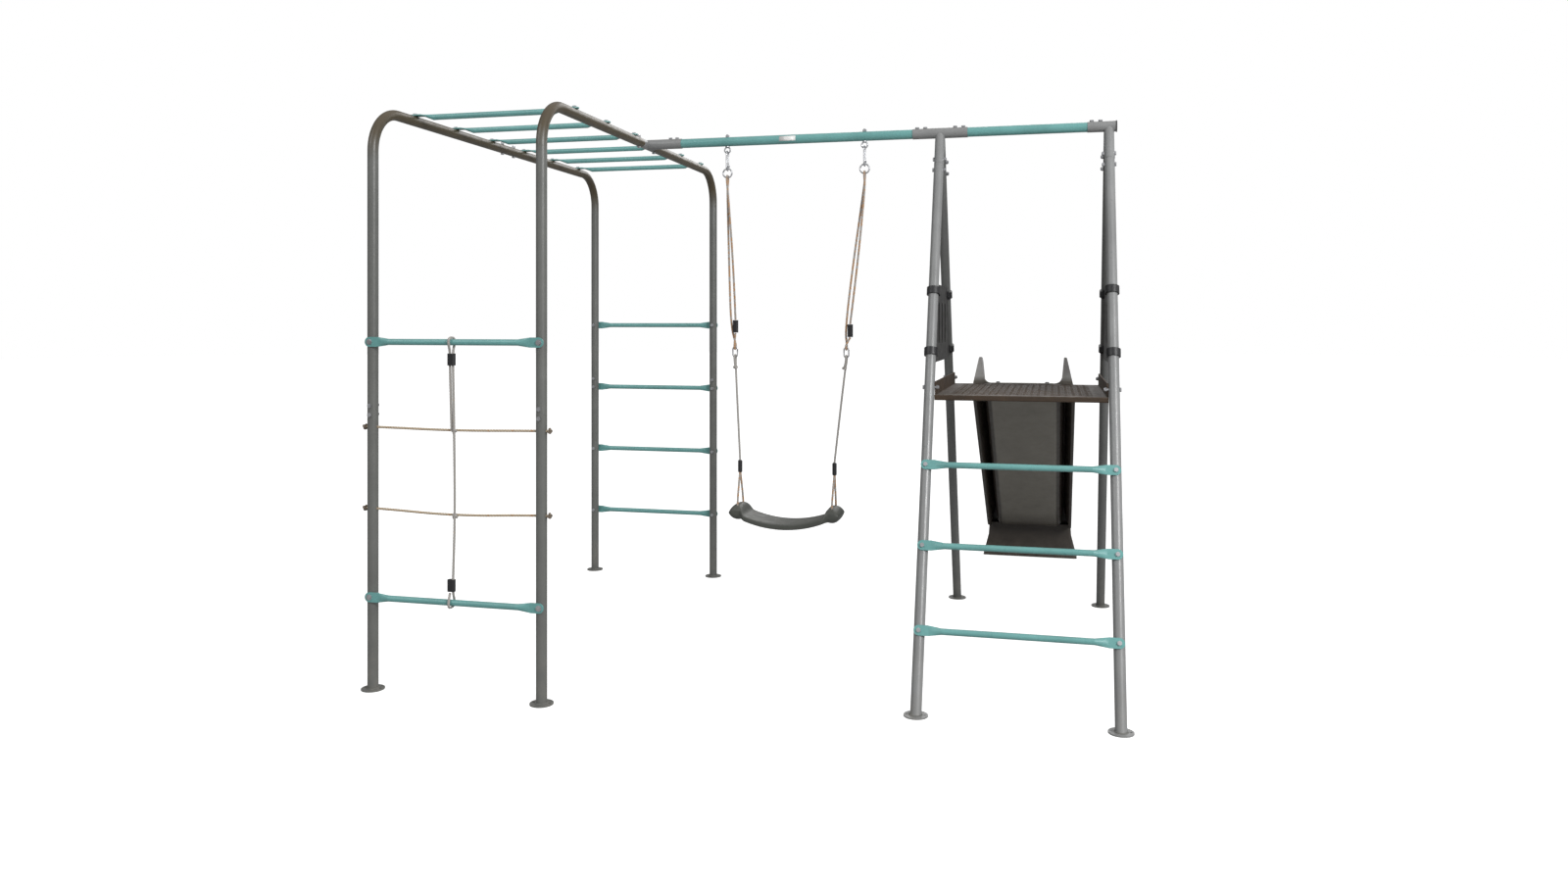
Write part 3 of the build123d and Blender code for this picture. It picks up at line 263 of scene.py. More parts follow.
def build_groups():
    """Builds the shared effects once and returns them by name."""
    groups = {}

    tree, given, result = shader_group(
        "Orange peel", [("Colour", COLOUR, (0.5, 0.5, 0.5, 1)), ("Gloss roughness", FLOAT, 0.35),
                        ("Peel depth", FLOAT, 0.12)],
        [("Colour", COLOUR), ("Roughness", FLOAT), ("Normal", VECTOR)])
    place = object_place(tree)
    cloud = spread(tree, noise(tree, place, 9, 4), 0.3, 0.7, 0.90, 1.08)
    fleck = spread(tree, noise(tree, place, 260, 3, 0.7), 0.35, 0.75, 0.96, 1.05)
    tint = shaded(tree, given["Colour"], times(tree, cloud, fleck))
    uneven = spread(tree, noise(tree, place, 35, 3), 0.3, 0.7, -0.06, 0.08)
    end_surface(tree, given, result, tint, uneven, noise(tree, place, 620, 2), "Peel depth")
    groups["peel"] = tree

    tree, given, result = shader_group(
        "Edge wear", [("Width", FLOAT, 0.0015), ("Amount", FLOAT, 0.5)], [("Mask", FLOAT)])
    place = object_place(tree)
    flat = node(tree, "ShaderNodeNewGeometry").outputs["Normal"]
    bevelled = node(tree, "ShaderNodeBevel", {"Radius": given["Width"]}, samples=3).outputs[0]
    facing = node(tree, "ShaderNodeVectorMath", {0: flat, 1: bevelled},
                  operation="DOT_PRODUCT").outputs["Value"]
    edge = spread(tree, facing, 0.985, 0.86)
    patch = spread(tree, noise(tree, place, 48, 5, 0.7), 0.48, 0.66)
    end_mask(tree, given, result, edge, patch)
    groups["wear"] = tree

    tree, given, result = shader_group(
        "Dust", [("Amount", FLOAT, 0.3), ("Ground height", FLOAT, 0.25)], [("Mask", FLOAT)])
    place = object_place(tree)
    low = spread(tree, along_axis(tree, place, "Z"), given["Ground height"], 0.0)
    up = along_axis(tree, node(tree, "ShaderNodeNewGeometry").outputs["Normal"], "Z")
    lying = spread(tree, up, 0.5, 1.0, 0.0, 0.6)
    both = math_node(tree, "MAXIMUM", low, lying)
    patch = spread(tree, noise(tree, place, 22, 6, 0.65), 0.38, 0.72)
    end_mask(tree, given, result, both, patch)
    groups["dust"] = tree

    tree, given, result = shader_group(
        "Moulded grain", [("Colour", COLOUR, (0.2, 0.2, 0.2, 1)), ("Gloss roughness", FLOAT, 0.5),
                          ("Mottle", FLOAT, 0.15), ("Grain depth", FLOAT, 0.2)],
        [("Colour", COLOUR), ("Roughness", FLOAT), ("Normal", VECTOR)])
    place = object_place(tree)
    cloud = spread(tree, noise(tree, place, 14, 5, 0.6), 0.25, 0.75, -1.0, 1.0)
    gain = math_node(tree, "ADD", times(tree, cloud, given["Mottle"]), 1.0)
    tint = shaded(tree, given["Colour"], gain)
    grain = node(tree, "ShaderNodeTexVoronoi", {"Vector": place, "Scale": 520.0},
                 feature="SMOOTH_F1").outputs["Distance"]
    scratch_place = node(tree, "ShaderNodeMapping",
                         {"Vector": place, "Scale": (300.0, 22.0, 60.0)}).outputs[0]
    scratch = spread(tree, noise(tree, scratch_place, 1.0, 3, 0.6), 0.62, 0.78)
    height = math_node(tree, "SUBTRACT", grain, times(tree, scratch, 0.4))
    uneven = spread(tree, noise(tree, place, 40, 4), 0.3, 0.7, -0.08, 0.1)
    end_surface(tree, given, result, tint, uneven, height, "Grain depth")
    groups["grain"] = tree

    # Masks of painted light on the slide: painted shade on the side walls below the deck and on the low end
    # and foot, and a painted highlight on the tops of the walls at the deck.
    tree, given, result = shader_group(
        "Slide painted shade and highlight", [("Middle", FLOAT, SLIDE_X), ("Bed half width", FLOAT, 0.131)],
        [("Wall", FLOAT), ("Handled", FLOAT)])
    place = node(tree, "ShaderNodeSeparateXYZ", {0: object_place(tree)})
    out = math_node(tree, "SUBTRACT", place.outputs["X"], given["Middle"])
    out = math_node(tree, "ABSOLUTE", out)
    past = math_node(tree, "SUBTRACT", out, given["Bed half width"])
    side = spread(tree, past, -0.004, 0.004)
    # Painted shade on the side walls below the deck.
    under = times(tree, side, spread(tree, place.outputs["Z"], 0.97, 0.93))
    # Painted shade on the low end of the slide and its foot.
    foot = spread(tree, place.outputs["Z"], 0.26, 0.15)
    # Painted highlight on the tops of the walls, above the deck.
    painted_light = times(tree, side, spread(tree, place.outputs["Z"], 0.965, 0.985))
    feed(tree, result, Wall=math_node(tree, "MAXIMUM", under, foot), Handled=painted_light)
    groups["slide"] = tree

    tree, given, result = shader_group(
        "Rope yarns",
        [("Colour", COLOUR, (0.5, 0.45, 0.4, 1)), ("Second colour", COLOUR, (0.5, 0.3, 0.15, 1)),
         ("Second share", FLOAT, 0.3)],
        [("Colour", COLOUR), ("Height", FLOAT)])
    place = node(tree, "ShaderNodeUVMap", uv_map="lay").outputs[0]
    along = node(tree, "ShaderNodeMapping", {"Vector": place, "Scale": (90.0, 60.0, 1.0)}).outputs[0]
    yarn = noise(tree, along, 1.0, 4, 0.7)
    stretched = node(tree, "ShaderNodeMapping", {"Vector": place, "Scale": (6.0, 1.0, 1.0)}).outputs[0]
    slow = noise(tree, stretched, 1.0, 2)
    level = math_node(tree, "SUBTRACT", 1.0, given["Second share"])
    blend = math_node(tree, "ADD", times(tree, yarn, 0.5), times(tree, slow, 0.7))
    share = math_node(tree, "GREATER_THAN", blend, level)
    tint = mix(tree, share, given["Colour"], given["Second colour"])
    tint = shaded(tree, tint, spread(tree, yarn, 0.25, 0.75, 0.72, 1.18))
    feed(tree, result, Colour=tint, Height=yarn)
    groups["yarns"] = tree
    return groups


def new_material(name, roughness=0.5, **constants):
    """A material with a Principled shader whose constants are set on its own sockets.

    Returns its node tree and that shader.
    """
    made = bpy.data.materials.new(name)
    made.use_nodes = True
    tree = made.node_tree
    tree.nodes.clear()
    shader = tree.nodes.new("ShaderNodeBsdfPrincipled")
    shader.inputs["Roughness"].default_value = roughness
    for label, value in constants.items():
        shader.inputs[label.replace("_", " ")].default_value = value
    target = tree.nodes.new("ShaderNodeOutputMaterial")
    tree.links.new(shader.outputs[0], target.inputs[0])
    return tree, shader


def placed(tree, group, **inputs):
    """A shared effect placed in a material, with _ for a space in an input's name."""
    made = tree.nodes.new("ShaderNodeGroup")
    made.node_tree = group
    for label, value in inputs.items():
        made.inputs[label.replace("_", " ")].default_value = value
    return made


DUST_COLOUR = (*linear(160, 150, 136), 1)


def fade_along(tree, axis, low, high, first, second):
    """A colour that changes from the first to the second along an axis of the frame."""
    along = along_axis(tree, object_place(tree), axis)
    return mix(tree, spread(tree, along, low, high), (*first, 1), (*second, 1))


def powder_coat(groups, name, tint, gloss=0.34, wear=0.5, dust=0.25, peel=0.12, fade=None):
    """Sprayed paint with orange peel, bright chipped edges and a little dust.

    fade is an axis, where the change to a second colour starts and ends on it, and that colour; the callers
    use it for painted shade.
    """
    tree, shader = new_material(name, Coat_Weight=0.12, Coat_Roughness=0.2)
    coat = placed(tree, groups["peel"], Colour=(*tint, 1), Gloss_roughness=gloss, Peel_depth=peel)
    if fade is not None:
        # Painted shade: the coat's colour fades to the second colour along the axis.
        axis, low, high, second = fade
        tree.links.new(fade_along(tree, axis, low, high, tint, second), coat.inputs["Colour"])
    worn = placed(tree, groups["wear"], Width=0.0015, Amount=wear)
    dusty = placed(tree, groups["dust"], Amount=dust)
    base = mix(tree, worn.outputs[0], coat.outputs["Colour"], (*linear(150, 148, 145), 1))
    base = mix(tree, dusty.outputs[0], base, DUST_COLOUR)
    dull = times(tree, dusty.outputs[0], 0.4)
    rough = math_node(tree, "ADD", coat.outputs["Roughness"], dull, clamp=True)
    bare = times(tree, worn.outputs[0], 0.6)
    feed(tree, shader, Base_Color=base, Roughness=rough, Metallic=bare, Normal=coat.outputs["Normal"])


def moulded(groups, name, tint, gloss=0.5, mottle=0.14, grain=0.25, dust=0.2, wear=0.35, pale=1.7,
            walls=None):
    """Grained plastic with mottling, scuffed edges and a little dust.

    walls is the painted shade colour of a slide, for its side walls below the deck and its foot; the tops of
    its walls also get a painted highlight.
    """
    tree, shader = new_material(name)
    surface = placed(tree, groups["grain"], Colour=(*tint, 1), Gloss_roughness=gloss, Mottle=mottle,
                     Grain_depth=grain)
    if walls is not None:
        marks = placed(tree, groups["slide"])
        # Painted shade on the slide's side walls and foot.
        shade = mix(tree, marks.outputs["Wall"], (*tint, 1), (*walls, 1))
        # Painted highlight: a pale grey on the tops of the walls.
        shade = mix(tree, marks.outputs["Handled"], shade, (*linear(196, 195, 193), 1))
        tree.links.new(shade, surface.inputs["Colour"])
    worn = placed(tree, groups["wear"], Width=0.003, Amount=wear)
    dusty = placed(tree, groups["dust"], Amount=dust, Ground_height=0.12)
    base = mix(tree, worn.outputs[0], surface.outputs["Colour"], (*(min(1, c * pale) for c in tint), 1))
    base = mix(tree, dusty.outputs[0], base, DUST_COLOUR)
    feed(tree, shader, Base_Color=base, Roughness=surface.outputs["Roughness"],
         Normal=surface.outputs["Normal"])


def plated(groups, name, tint):
    """Zinc plate: a metal with cloudy gloss and dull spots."""
    tree, shader = new_material(name)
    surface = placed(tree, groups["peel"], Colour=(*tint, 1), Gloss_roughness=0.32, Peel_depth=0.05)
    dull = spread(tree, noise(tree, object_place(tree), 60, 4), 0.45, 0.75, 0.95, 0.6)
    feed(tree, shader, Base_Color=surface.outputs["Colour"], Roughness=surface.outputs["Roughness"],
         Normal=surface.outputs["Normal"], Metallic=dull)


def rope_fibre(groups, name, tint, second, share):
    """Twisted yarns, two colours of them, with the yarns' own relief."""
    tree, shader = new_material(name, 0.85, Sheen_Weight=0.35, Sheen_Roughness=0.5)
    yarns = placed(tree, groups["yarns"], Colour=(*tint, 1), Second_colour=(*second, 1), Second_share=share)
    bump = node(tree, "ShaderNodeBump", {"Height": yarns.outputs["Height"], "Strength": 0.5,
                                         "Distance": 0.0008})
    feed(tree, shader, Base_Color=yarns.outputs["Colour"], Normal=bump.outputs[0])


def material(name):
    """A finished material by name, from those that the finishes operator made."""
    found = bpy.data.materials.get(name)
    if found is None:
        raise RuntimeError(f"run the finishes operator first: there is no material {name}")
    return found


def paint(finish, *names):
    """Gives CAD nodes a finish."""
    for name in names:
        for slot in NODES[name].material_slots:
            slot.material = material(finish)


# ---- mesh helpers --------------------------------------------------------------------------

def added(name, data):
    """A new object, in the scene."""
    made = bpy.data.objects.new(name, data)
    bpy.context.scene.collection.objects.link(made)
    return made


def baked(holder):
    """The mesh of an object with its modifiers applied; the object goes."""
    graph = bpy.context.evaluated_depsgraph_get()
    mesh = bpy.data.meshes.new_from_object(holder.evaluated_get(graph))
    bpy.data.objects.remove(holder)
    return mesh


def mesh_of(name, bm):
    """A mesh from bm, which goes."""
    mesh = bpy.data.meshes.new(name)
    bm.to_mesh(mesh)
    bm.free()
    return mesh


def piece(name, mesh, finish, body, smooth=True):
    """A finished mesh as a piece that rides on a body."""
    mesh.materials.clear()
    mesh.materials.append(material(finish))
    mesh.shade_smooth() if smooth else mesh.shade_flat()
    made = added(name, mesh)
    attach(made, body)
    return made


def spline_line(points):
    """The points of the smooth line that has the given control points."""
    curve = bpy.data.curves.new("route", "CURVE")
    curve.dimensions = "3D"
    curve.resolution_u = 48
    spline = curve.splines.new("NURBS")
    spline.points.add(len(points) - 1)
    for target, point in zip(spline.points, points):
        target.co = (*point, 1)
    spline.order_u = 3
    spline.use_endpoint_u = True
    holder = added("route", curve)
    line = bpy.data.meshes.new_from_object(holder)
    found = [v.co.copy() for v in line.vertices]
    bpy.data.objects.remove(holder)
    bpy.data.curves.remove(curve)
    bpy.data.meshes.remove(line)
    return found


def even_steps(line, step):
    """A line's points again, at an even spacing close to step, with its length."""
    total = sum((b - a).length for a, b in zip(line, line[1:]))
    count = max(2, round(total / step))
    wanted = total / count
    even, passed, goal = [line[0].copy()], 0.0, wanted
    for a, b in zip(line, line[1:]):
        run = (b - a).length
        while run > 0 and passed + run >= goal - 1e-9 and len(even) < count:
            even.append(a.lerp(b, (goal - passed) / run))
            goal += wanted
        passed += run
    even.append(line[-1].copy())
    return even, total


def laid_rope(name, line, radius, lay, sides, valley=0.77, strands=3):
    """A rope of twisted strands round a line: each lobe of the ring is one strand."""
    bm = bmesh.new()
    across = line[1] - line[0]
    side = across.orthogonal().normalized()
    rings, travelled = [], 0.0
    for i, point in enumerate(line):
        ahead = (line[min(i + 1, len(line) - 1)] - line[max(i - 1, 0)]).normalized()
        side = (side - ahead * side.dot(ahead)).normalized()
        up = ahead.cross(side)
        if i:
            travelled += (point - line[i - 1]).length
        turn = 2 * math.pi * travelled / lay
        ring = []
        for j in range(sides):
            angle = 2 * math.pi * j / sides
            lobe = math.sqrt(abs(math.cos(angle * strands / 2)))
            reach = radius * (valley + (1 - valley) * lobe)
            ring.append(bm.verts.new(point + reach * (
                side * math.cos(angle + turn) + up * math.sin(angle + turn))))
        rings.append((ring, travelled))
    lay_map = bm.loops.layers.uv.new("lay")
    for (low, low_at), (high, high_at) in zip(rings, rings[1:]):
        for j in range(sides):
            k = (j + 1) % sides
            face = bm.faces.new((low[j], low[k], high[k], high[j]))
            corners = ((low_at, j), (low_at, j + 1), (high_at, j + 1), (high_at, j))
            for loop, (at, turn_at) in zip(face.loops, corners):
                loop[lay_map].uv = (at * 10, turn_at / sides)
    bm.faces.new(list(reversed(rings[0][0])))
    bm.faces.new(rings[-1][0])
    return mesh_of(name, bm)


def knot_line(centre, size, axis, turn=0.0):
    """The closed line of an overhand knot round an axis."""
    axis = Vector(axis).normalized()
    rotate = axis.to_track_quat("Z", "Y").to_matrix() @ Matrix.Rotation(turn, 3, "Z")
    points = []
    for i in range(97):
        t = 2 * math.pi * i / 96
        local = Vector((math.sin(t) + 2 * math.sin(2 * t), math.cos(t) - 2 * math.cos(2 * t),
                        -1.25 * math.sin(3 * t)))
        points.append(Vector(centre) + rotate @ local * size / 3)
    return points


def rounded(corners, steps=4):
    """A line through corners given as (u, w, radius), each corner rounded to its radius."""
    line = []
    for i, (u, w, radius) in enumerate(corners):
        here = Vector((u, w))
        before = Vector(corners[i - 1][:2]) - here
        after = Vector(corners[(i + 1) % len(corners)][:2]) - here
        if radius <= 0 or before.length < 1e-9 or after.length < 1e-9:
            line.append(here)
            continue
        half = before.angle(after) / 2
        if half > math.pi / 2 - 0.01:
            line.append(here)
            continue
        cut = min(radius / math.tan(half), 0.48 * before.length, 0.48 * after.length)
        start, end = here + before.normalized() * cut, here + after.normalized() * cut
        for k in range(steps + 1):
            t = k / steps
            line.append(start.lerp(here, t).lerp(here.lerp(end, t), t))
    return line


def join_rings(bm, rings, close=True):
    """Faces between rings of vertices, in order, with flat ends when close is true."""
    for low, high in zip(rings, rings[1:]):
        for j in range(len(low)):
            k = (j + 1) % len(low)
            bm.faces.new((low[j], low[k], high[k], high[j]))
    if close:
        bm.faces.new(list(reversed(rings[0])))
        bm.faces.new(rings[-1])


def finished_mesh(name, bm):
    """A mesh from bm, its doubles merged and its faces outwards."""
    bmesh.ops.remove_doubles(bm, verts=bm.verts, dist=1e-6)
    bmesh.ops.recalc_face_normals(bm, faces=bm.faces)
    return mesh_of(name, bm)


def ring_of(bm, points):
    """Vertices at points that are given in millimetres."""
    return [bm.verts.new(Vector(point) * MM) for point in points]


def soften(mesh, angle=math.radians(32)):
    """Smooth shading except over sharp edges."""
    mesh.shade_smooth()
    mesh.set_sharp_from_angle(angle=angle)


def geometry_tree(name, *inputs):
    """An empty Geometry Nodes tree with named inputs besides its geometry and its finish."""
    tree = bpy.data.node_groups.new(name, "GeometryNodeTree")
    tree.interface.new_socket("Geometry", in_out="INPUT", socket_type="NodeSocketGeometry")
    for label, kind, default in inputs:
        socket = tree.interface.new_socket(label, in_out="INPUT", socket_type=kind)
        socket.default_value = default
    tree.interface.new_socket("Finish", in_out="INPUT", socket_type="NodeSocketMaterial")
    tree.interface.new_socket("Geometry", in_out="OUTPUT", socket_type="NodeSocketGeometry")
    return tree, tree.nodes.new("NodeGroupInput").outputs, tree.nodes.new("NodeGroupOutput")


def faced(tree, given, instance):
    """An instance on every point, its Z axis along the point's facing, as an output socket."""
    facing = node(tree, "GeometryNodeInputNamedAttribute", {"Name": "facing"}, data_type="FLOAT_VECTOR")
    turn = node(tree, "FunctionNodeAlignRotationToVector", {"Vector": facing.outputs[0]}, axis="Z")
    return node(tree, "GeometryNodeInstanceOnPoints", {
        "Points": given["Geometry"], "Instance": instance, "Rotation": turn.outputs[0]}).outputs[0]


def end_tree(tree, given, result, instances):
    """Ends a tree in Realize Instances and Set Material, and returns it."""
    real = node(tree, "GeometryNodeRealizeInstances", {0: instances}).outputs[0]
    painted = node(tree, "GeometryNodeSetMaterial", {0: real, 2: given["Finish"]}).outputs[0]
    tree.links.new(painted, result.inputs[0])
    return tree


def grown(name, base, tree, values):
    """The plain mesh that a Geometry Nodes tree makes from a base mesh."""
    holder = added(name, base)
    modifier = holder.modifiers.new(name, "NODES")
    modifier.node_group = tree
    for item in tree.interface.items_tree:
        if item.in_out == "INPUT" and item.name in values:
            modifier[item.identifier] = values[item.name]
    return baked(holder)


def points_mesh(name, points, turns=None):
    """Loose points, with the way each faces as an attribute."""
    mesh = bpy.data.meshes.new(name)
    mesh.from_pydata(points, [], [])
    if turns is not None:
        attribute = mesh.attributes.new("facing", "FLOAT_VECTOR", "POINT")
        attribute.data.foreach_set("vector", [c for turn in turns for c in turn])
    return mesh


def bead_tree():
    """Rings of weld beads round points: each ring lies square to its point's facing."""
    tree, given, result = geometry_tree(
        "Weld rings", ("Ring radius", FLOAT, 0.018), ("Bead radius", FLOAT, 0.0026),
        ("Beads", "NodeSocketInt", 30))
    ring = node(tree, "GeometryNodeCurvePrimitiveCircle",
                {"Radius": given["Ring radius"], "Resolution": given["Beads"]})
    bead = node(tree, "GeometryNodeMeshUVSphere", {"Segments": 8, "Rings": 5,
                                                   "Radius": given["Bead radius"]})
    beads = node(tree, "GeometryNodeInstanceOnPoints", {
        "Points": ring.outputs[0], "Instance": bead.outputs[0], "Scale": (1.0, 1.0, 0.8)})
    return end_tree(tree, given, result, faced(tree, given, beads.outputs[0]))


def washer_tree():
    """Flat washers, one on each point, facing its way."""
    tree, given, result = geometry_tree(
        "Washers", ("Radius", FLOAT, 0.0095), ("Thickness", FLOAT, 0.0008))
    ring = node(tree, "GeometryNodeMeshCylinder", {"Vertices": 28, "Radius": given["Radius"],
                                                   "Depth": given["Thickness"]})
    return end_tree(tree, given, result, faced(tree, given, ring.outputs["Mesh"]))


def stud_tree():
    """Blunt anti-slip studs on a grid."""
    tree, given, result = geometry_tree(
        "Studs", ("Stud radius", FLOAT, 0.005), ("Stud height", FLOAT, 0.0014))
    stud = node(tree, "GeometryNodeMeshCone", {
        "Vertices": 8, "Radius Bottom": given["Stud radius"], "Radius Top": 0.003,
        "Depth": given["Stud height"]})
    studs = node(tree, "GeometryNodeInstanceOnPoints", {
        "Points": given["Geometry"], "Instance": stud.outputs["Mesh"], "Scale": (1.6, 1.0, 1.0)})
    return end_tree(tree, given, result, studs.outputs[0])


# ---- operators -----------------------------------------------------------------------------

class MakeFinishes(bpy.types.Operator):
    """Builds the shared effects and the materials"""
    bl_idname = "climbing_frame.make_finishes"
    bl_label = "Make finishes"

    def execute(self, context):
        tint = context.scene.climb_finishes
        groups = build_groups()
        powder_coat(groups, "Post paint", tint.post)
        # The rails' coat is the post grey and fades to painted shade towards the top.
        powder_coat(groups, "Rail paint with painted shade", tint.post, gloss=0.38,
                    fade=("Z", BEAM_Z - 0.17, BEAM_Z - 0.08, tint.rail_shade))
        # The tower's coat fades to painted shade on the back legs, behind the beam.
        powder_coat(groups, "Tower paint", tint.tower, gloss=0.32,
                    fade=("Y", BEAM_Y - 0.01, BEAM_Y + 0.03, tint.tower_back_shade))
        powder_coat(groups, "Teal paint", tint.teal, gloss=0.3, wear=0.6)
        plated(groups, "Zinc", tint.zinc)
        moulded(groups, "Black plastic", tint.black, gloss=0.38, mottle=0.08)
        moulded(groups, "Guard plastic", tint.guard, gloss=0.42, dust=0.08)
        moulded(groups, "Deck plastic", tint.deck, gloss=0.6, mottle=0.34, dust=0.1)
        # The slide gets painted shade on its walls and foot and a painted highlight on its wall tops.
        moulded(groups, "Slide plastic", tint.slide, gloss=0.4, mottle=0.12, grain=0.15,
                walls=tint.slide_wall_shade)
        moulded(groups, "Swing plastic", tint.seat, gloss=0.45)
        tree, shader = new_material("Label film", 0.3, Coat_Weight=0.3)
        film = mix(tree, noise(tree, object_place(tree), 90.0), (0.78, 0.78, 0.76, 1), (0.86, 0.86, 0.85, 1))
        feed(tree, shader, Base_Color=film)
        rope_fibre(groups, "Tan rope", tint.tan_rope, tint.orange_rope, 0.3)
        rope_fibre(groups, "Knot rope", tint.dark_rope, tint.tan_rope, 0.3)
        rope_fibre(groups, "Swing rope", tint.grey_rope, tint.orange_rope, 0.4)
        rope_fibre(groups, "Grey rope", tint.grey_rope, tint.tan_rope, 0.25)
        return {"FINISHED"}


class MakeStage(bpy.types.Operator):
    """Sets up the camera, the lamps, the pale floor and the white surroundings"""
    bl_idname = "climbing_frame.make_stage"
    bl_label = "Make studio"

    def execute(self, context):
        stage = context.scene.climb_stage
        scene = context.scene
        scene.view_settings.view_transform = "Standard"
        lens = bpy.data.cameras.new("Studio camera")
        lens.lens = stage.lens
        lens.sensor_width = 36
        lens.shift_y = LENS_SHIFT
        lens.clip_end = 100
        camera = added("Studio camera", lens)
        camera.location = stage.camera_place
        camera.rotation_euler = (math.pi / 2, 0, stage.camera_turn)
        scene.camera = camera

        world = bpy.data.worlds.new("White surroundings")
        world.use_nodes = True
        tree = world.node_tree
        sky = tree.nodes["Background"]
        look = node(tree, "ShaderNodeTexCoord").outputs["Generated"]
        right = node(tree, "ShaderNodeVectorMath", {0: look, 1: (0.95, -0.3, 0.0)},
                     operation="DOT_PRODUCT").outputs["Value"]
        dome = spread(tree, along_axis(tree, look, "Z"), -0.2, 0.8,
                      0.25 * stage.world_strength, stage.world_strength)
        dome = times(tree, dome, spread(tree, right, -0.9, 0.9, 0.35, 1.25))
        seen = node(tree, "ShaderNodeLightPath").outputs["Is Camera Ray"]
        strength = node(tree, "ShaderNodeMix", {0: seen, 2: dome, 3: 1.0}, data_type="FLOAT").outputs[0]
        sky.inputs["Color"].default_value = (1, 1, 1, 1)
        tree.links.new(strength, sky.inputs["Strength"])
        scene.world = world
        for name, place, aim, size, share in (
                ("Key lamp", (4.6, -4.6, 3.6), (0, 0, 0.9), 2.2, 1.0),
                ("Fill lamp", (-3.6, -4.6, 4.6), (0, 0, 0.9), 3.0, 0.28),
                ("Back lamp", (0.5, 5.5, 4.6), (0, 0, 1.0), 3.5, 0.4)):
            lamp = bpy.data.lights.new(name, "AREA")
            lamp.energy = stage.key_power * share
            lamp.size = size
            holder = added(name, lamp)
            holder.location = place
            holder.rotation_euler = (Vector(aim) - Vector(place)).to_track_quat("-Z", "Y").to_euler()

        bm = bmesh.new()
        bmesh.ops.create_circle(bm, cap_ends=True, segments=96, radius=40)
        mesh = mesh_of("Floor", bm)
        tree, shader = new_material("Floor paint", 0.9, Emission_Color=(1, 1, 1, 1))
        shade = mix(tree, noise(tree, object_place(tree), 3.0), (0.38, 0.38, 0.38, 1), (0.41, 0.41, 0.41, 1))
        seen = node(tree, "ShaderNodeLightPath").outputs["Is Camera Ray"]
        feed(tree, shader, Base_Color=shade, Emission_Strength=times(tree, seen, 0.9))
        mesh.materials.append(material("Floor paint"))
        added("Floor", mesh)
        return {"FINISHED"}


# ---- the ropes' routes: control points in millimetres, in the order in which a rope leaves ----

def in_mm(value):
    """A length of the frame in millimetres, to a hundredth."""
    return round(value / MM, 2)


def middle(name):
    """The middle of a CAD node's box in millimetres."""
    return tuple(in_mm((a + b) / 2) for a, b in zip(*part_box(name)))


BEAM = in_mm(BEAM_Y)
FRONT = middle("lower_post_left_front")[1]
NET_MIDDLE = round(middle("lower_post_left_front")[0] + middle("lower_post_right_front")[0]) / 2
NET_X = NET_MIDDLE - 3          # the long rope hangs a little to the left
STRAND = 5.5                    # from the middle of a net clamp to each strand in it
KNOT_REACH = 328.4              # from the middle of the net to a stopper knot
POST_REACH = 272.0              # to the inner face of a post
KNOT_SIZE, SMALL_KNOT_SIZE = 7.4, 6.6
NET_HEIGHTS = {"net_rope_upper": (858, 6), "net_rope_lower": (592, 13)}     # height and sag

RING_WIRE_Z = 1760.5            # middle of the wire at the bottom of a ring
LINK_HIGH, LINK_LOW = 1104, 1066
CRIMP_HIGH, CRIMP_LOW = 667, 620
LOOP_HALF, LOOP_LEG = 10, 14
RING_WRAP, LINK_WRAP = 7.6, 7.1         # from the middle of a wire to that of the rope round it
HOLE_HALF = 42                  # half the distance of a seat end's two rope holes
LUMP_Z, GROOVE_Z = 472.5, 451.5         # middle of a seat end, and of the rope under it
HANDS = {"left": (-243.5, -191.5, 1184), "right": (294.5, 176.5, 1168)}     # ring, hole, adjuster


def cross_route(height, sag):
    """A cross rope of the net, from knot to knot."""
    return [(NET_MIDDLE - KNOT_REACH, FRONT, height), (NET_MIDDLE - POST_REACH, FRONT, height),
            (NET_X, FRONT, height - sag),
            (NET_MIDDLE + POST_REACH, FRONT, height), (NET_MIDDLE + KNOT_REACH, FRONT, height)]


def bar_loop(name, way):
    """Round a net bar, clamp to clamp: way is 1 at the top bar and -1 at the bottom one."""
    _, y, z = middle(name)
    near, far = y - way * 18, y + way * 18
    past, back, clamp = z + way * 14.8, z - way * 8, z - way * 29
    return [(NET_X - way * STRAND, y, clamp), (NET_X, near, back), (NET_X, near, past), (NET_X, far, past),
            (NET_X, far, back), (NET_X + way * STRAND, y, clamp)]


def long_route():
    """The net's long rope, from the upper crossing over the top bar and down to the bottom bar."""
    over, under = bar_loop("net_bar_top", 1), bar_loop("net_bar_bottom", -1)
    clamp_low, clamp_high = over[0][2] - 47, under[0][2] + 47
    face, bar = FRONT - 8.6, over[0][1]
    return [(NET_X - 6, face, 856), (NET_X - STRAND, bar, clamp_low), *over,
            (NET_X + STRAND, bar, clamp_low), (NET_X + 3, face, 856), (NET_X + 6, face, 580),
            (NET_X + STRAND, bar, clamp_high), *under]


def wire_loop(x, leg_z, wire_z, way):
    """A loop of rope over a wire that lies across the swing."""
    near, far = BEAM - way * LOOP_HALF, BEAM + way * LOOP_HALF
    return [(x, near, leg_z), (x, near, wire_z), (x, far, wire_z), (x, far, leg_z)]


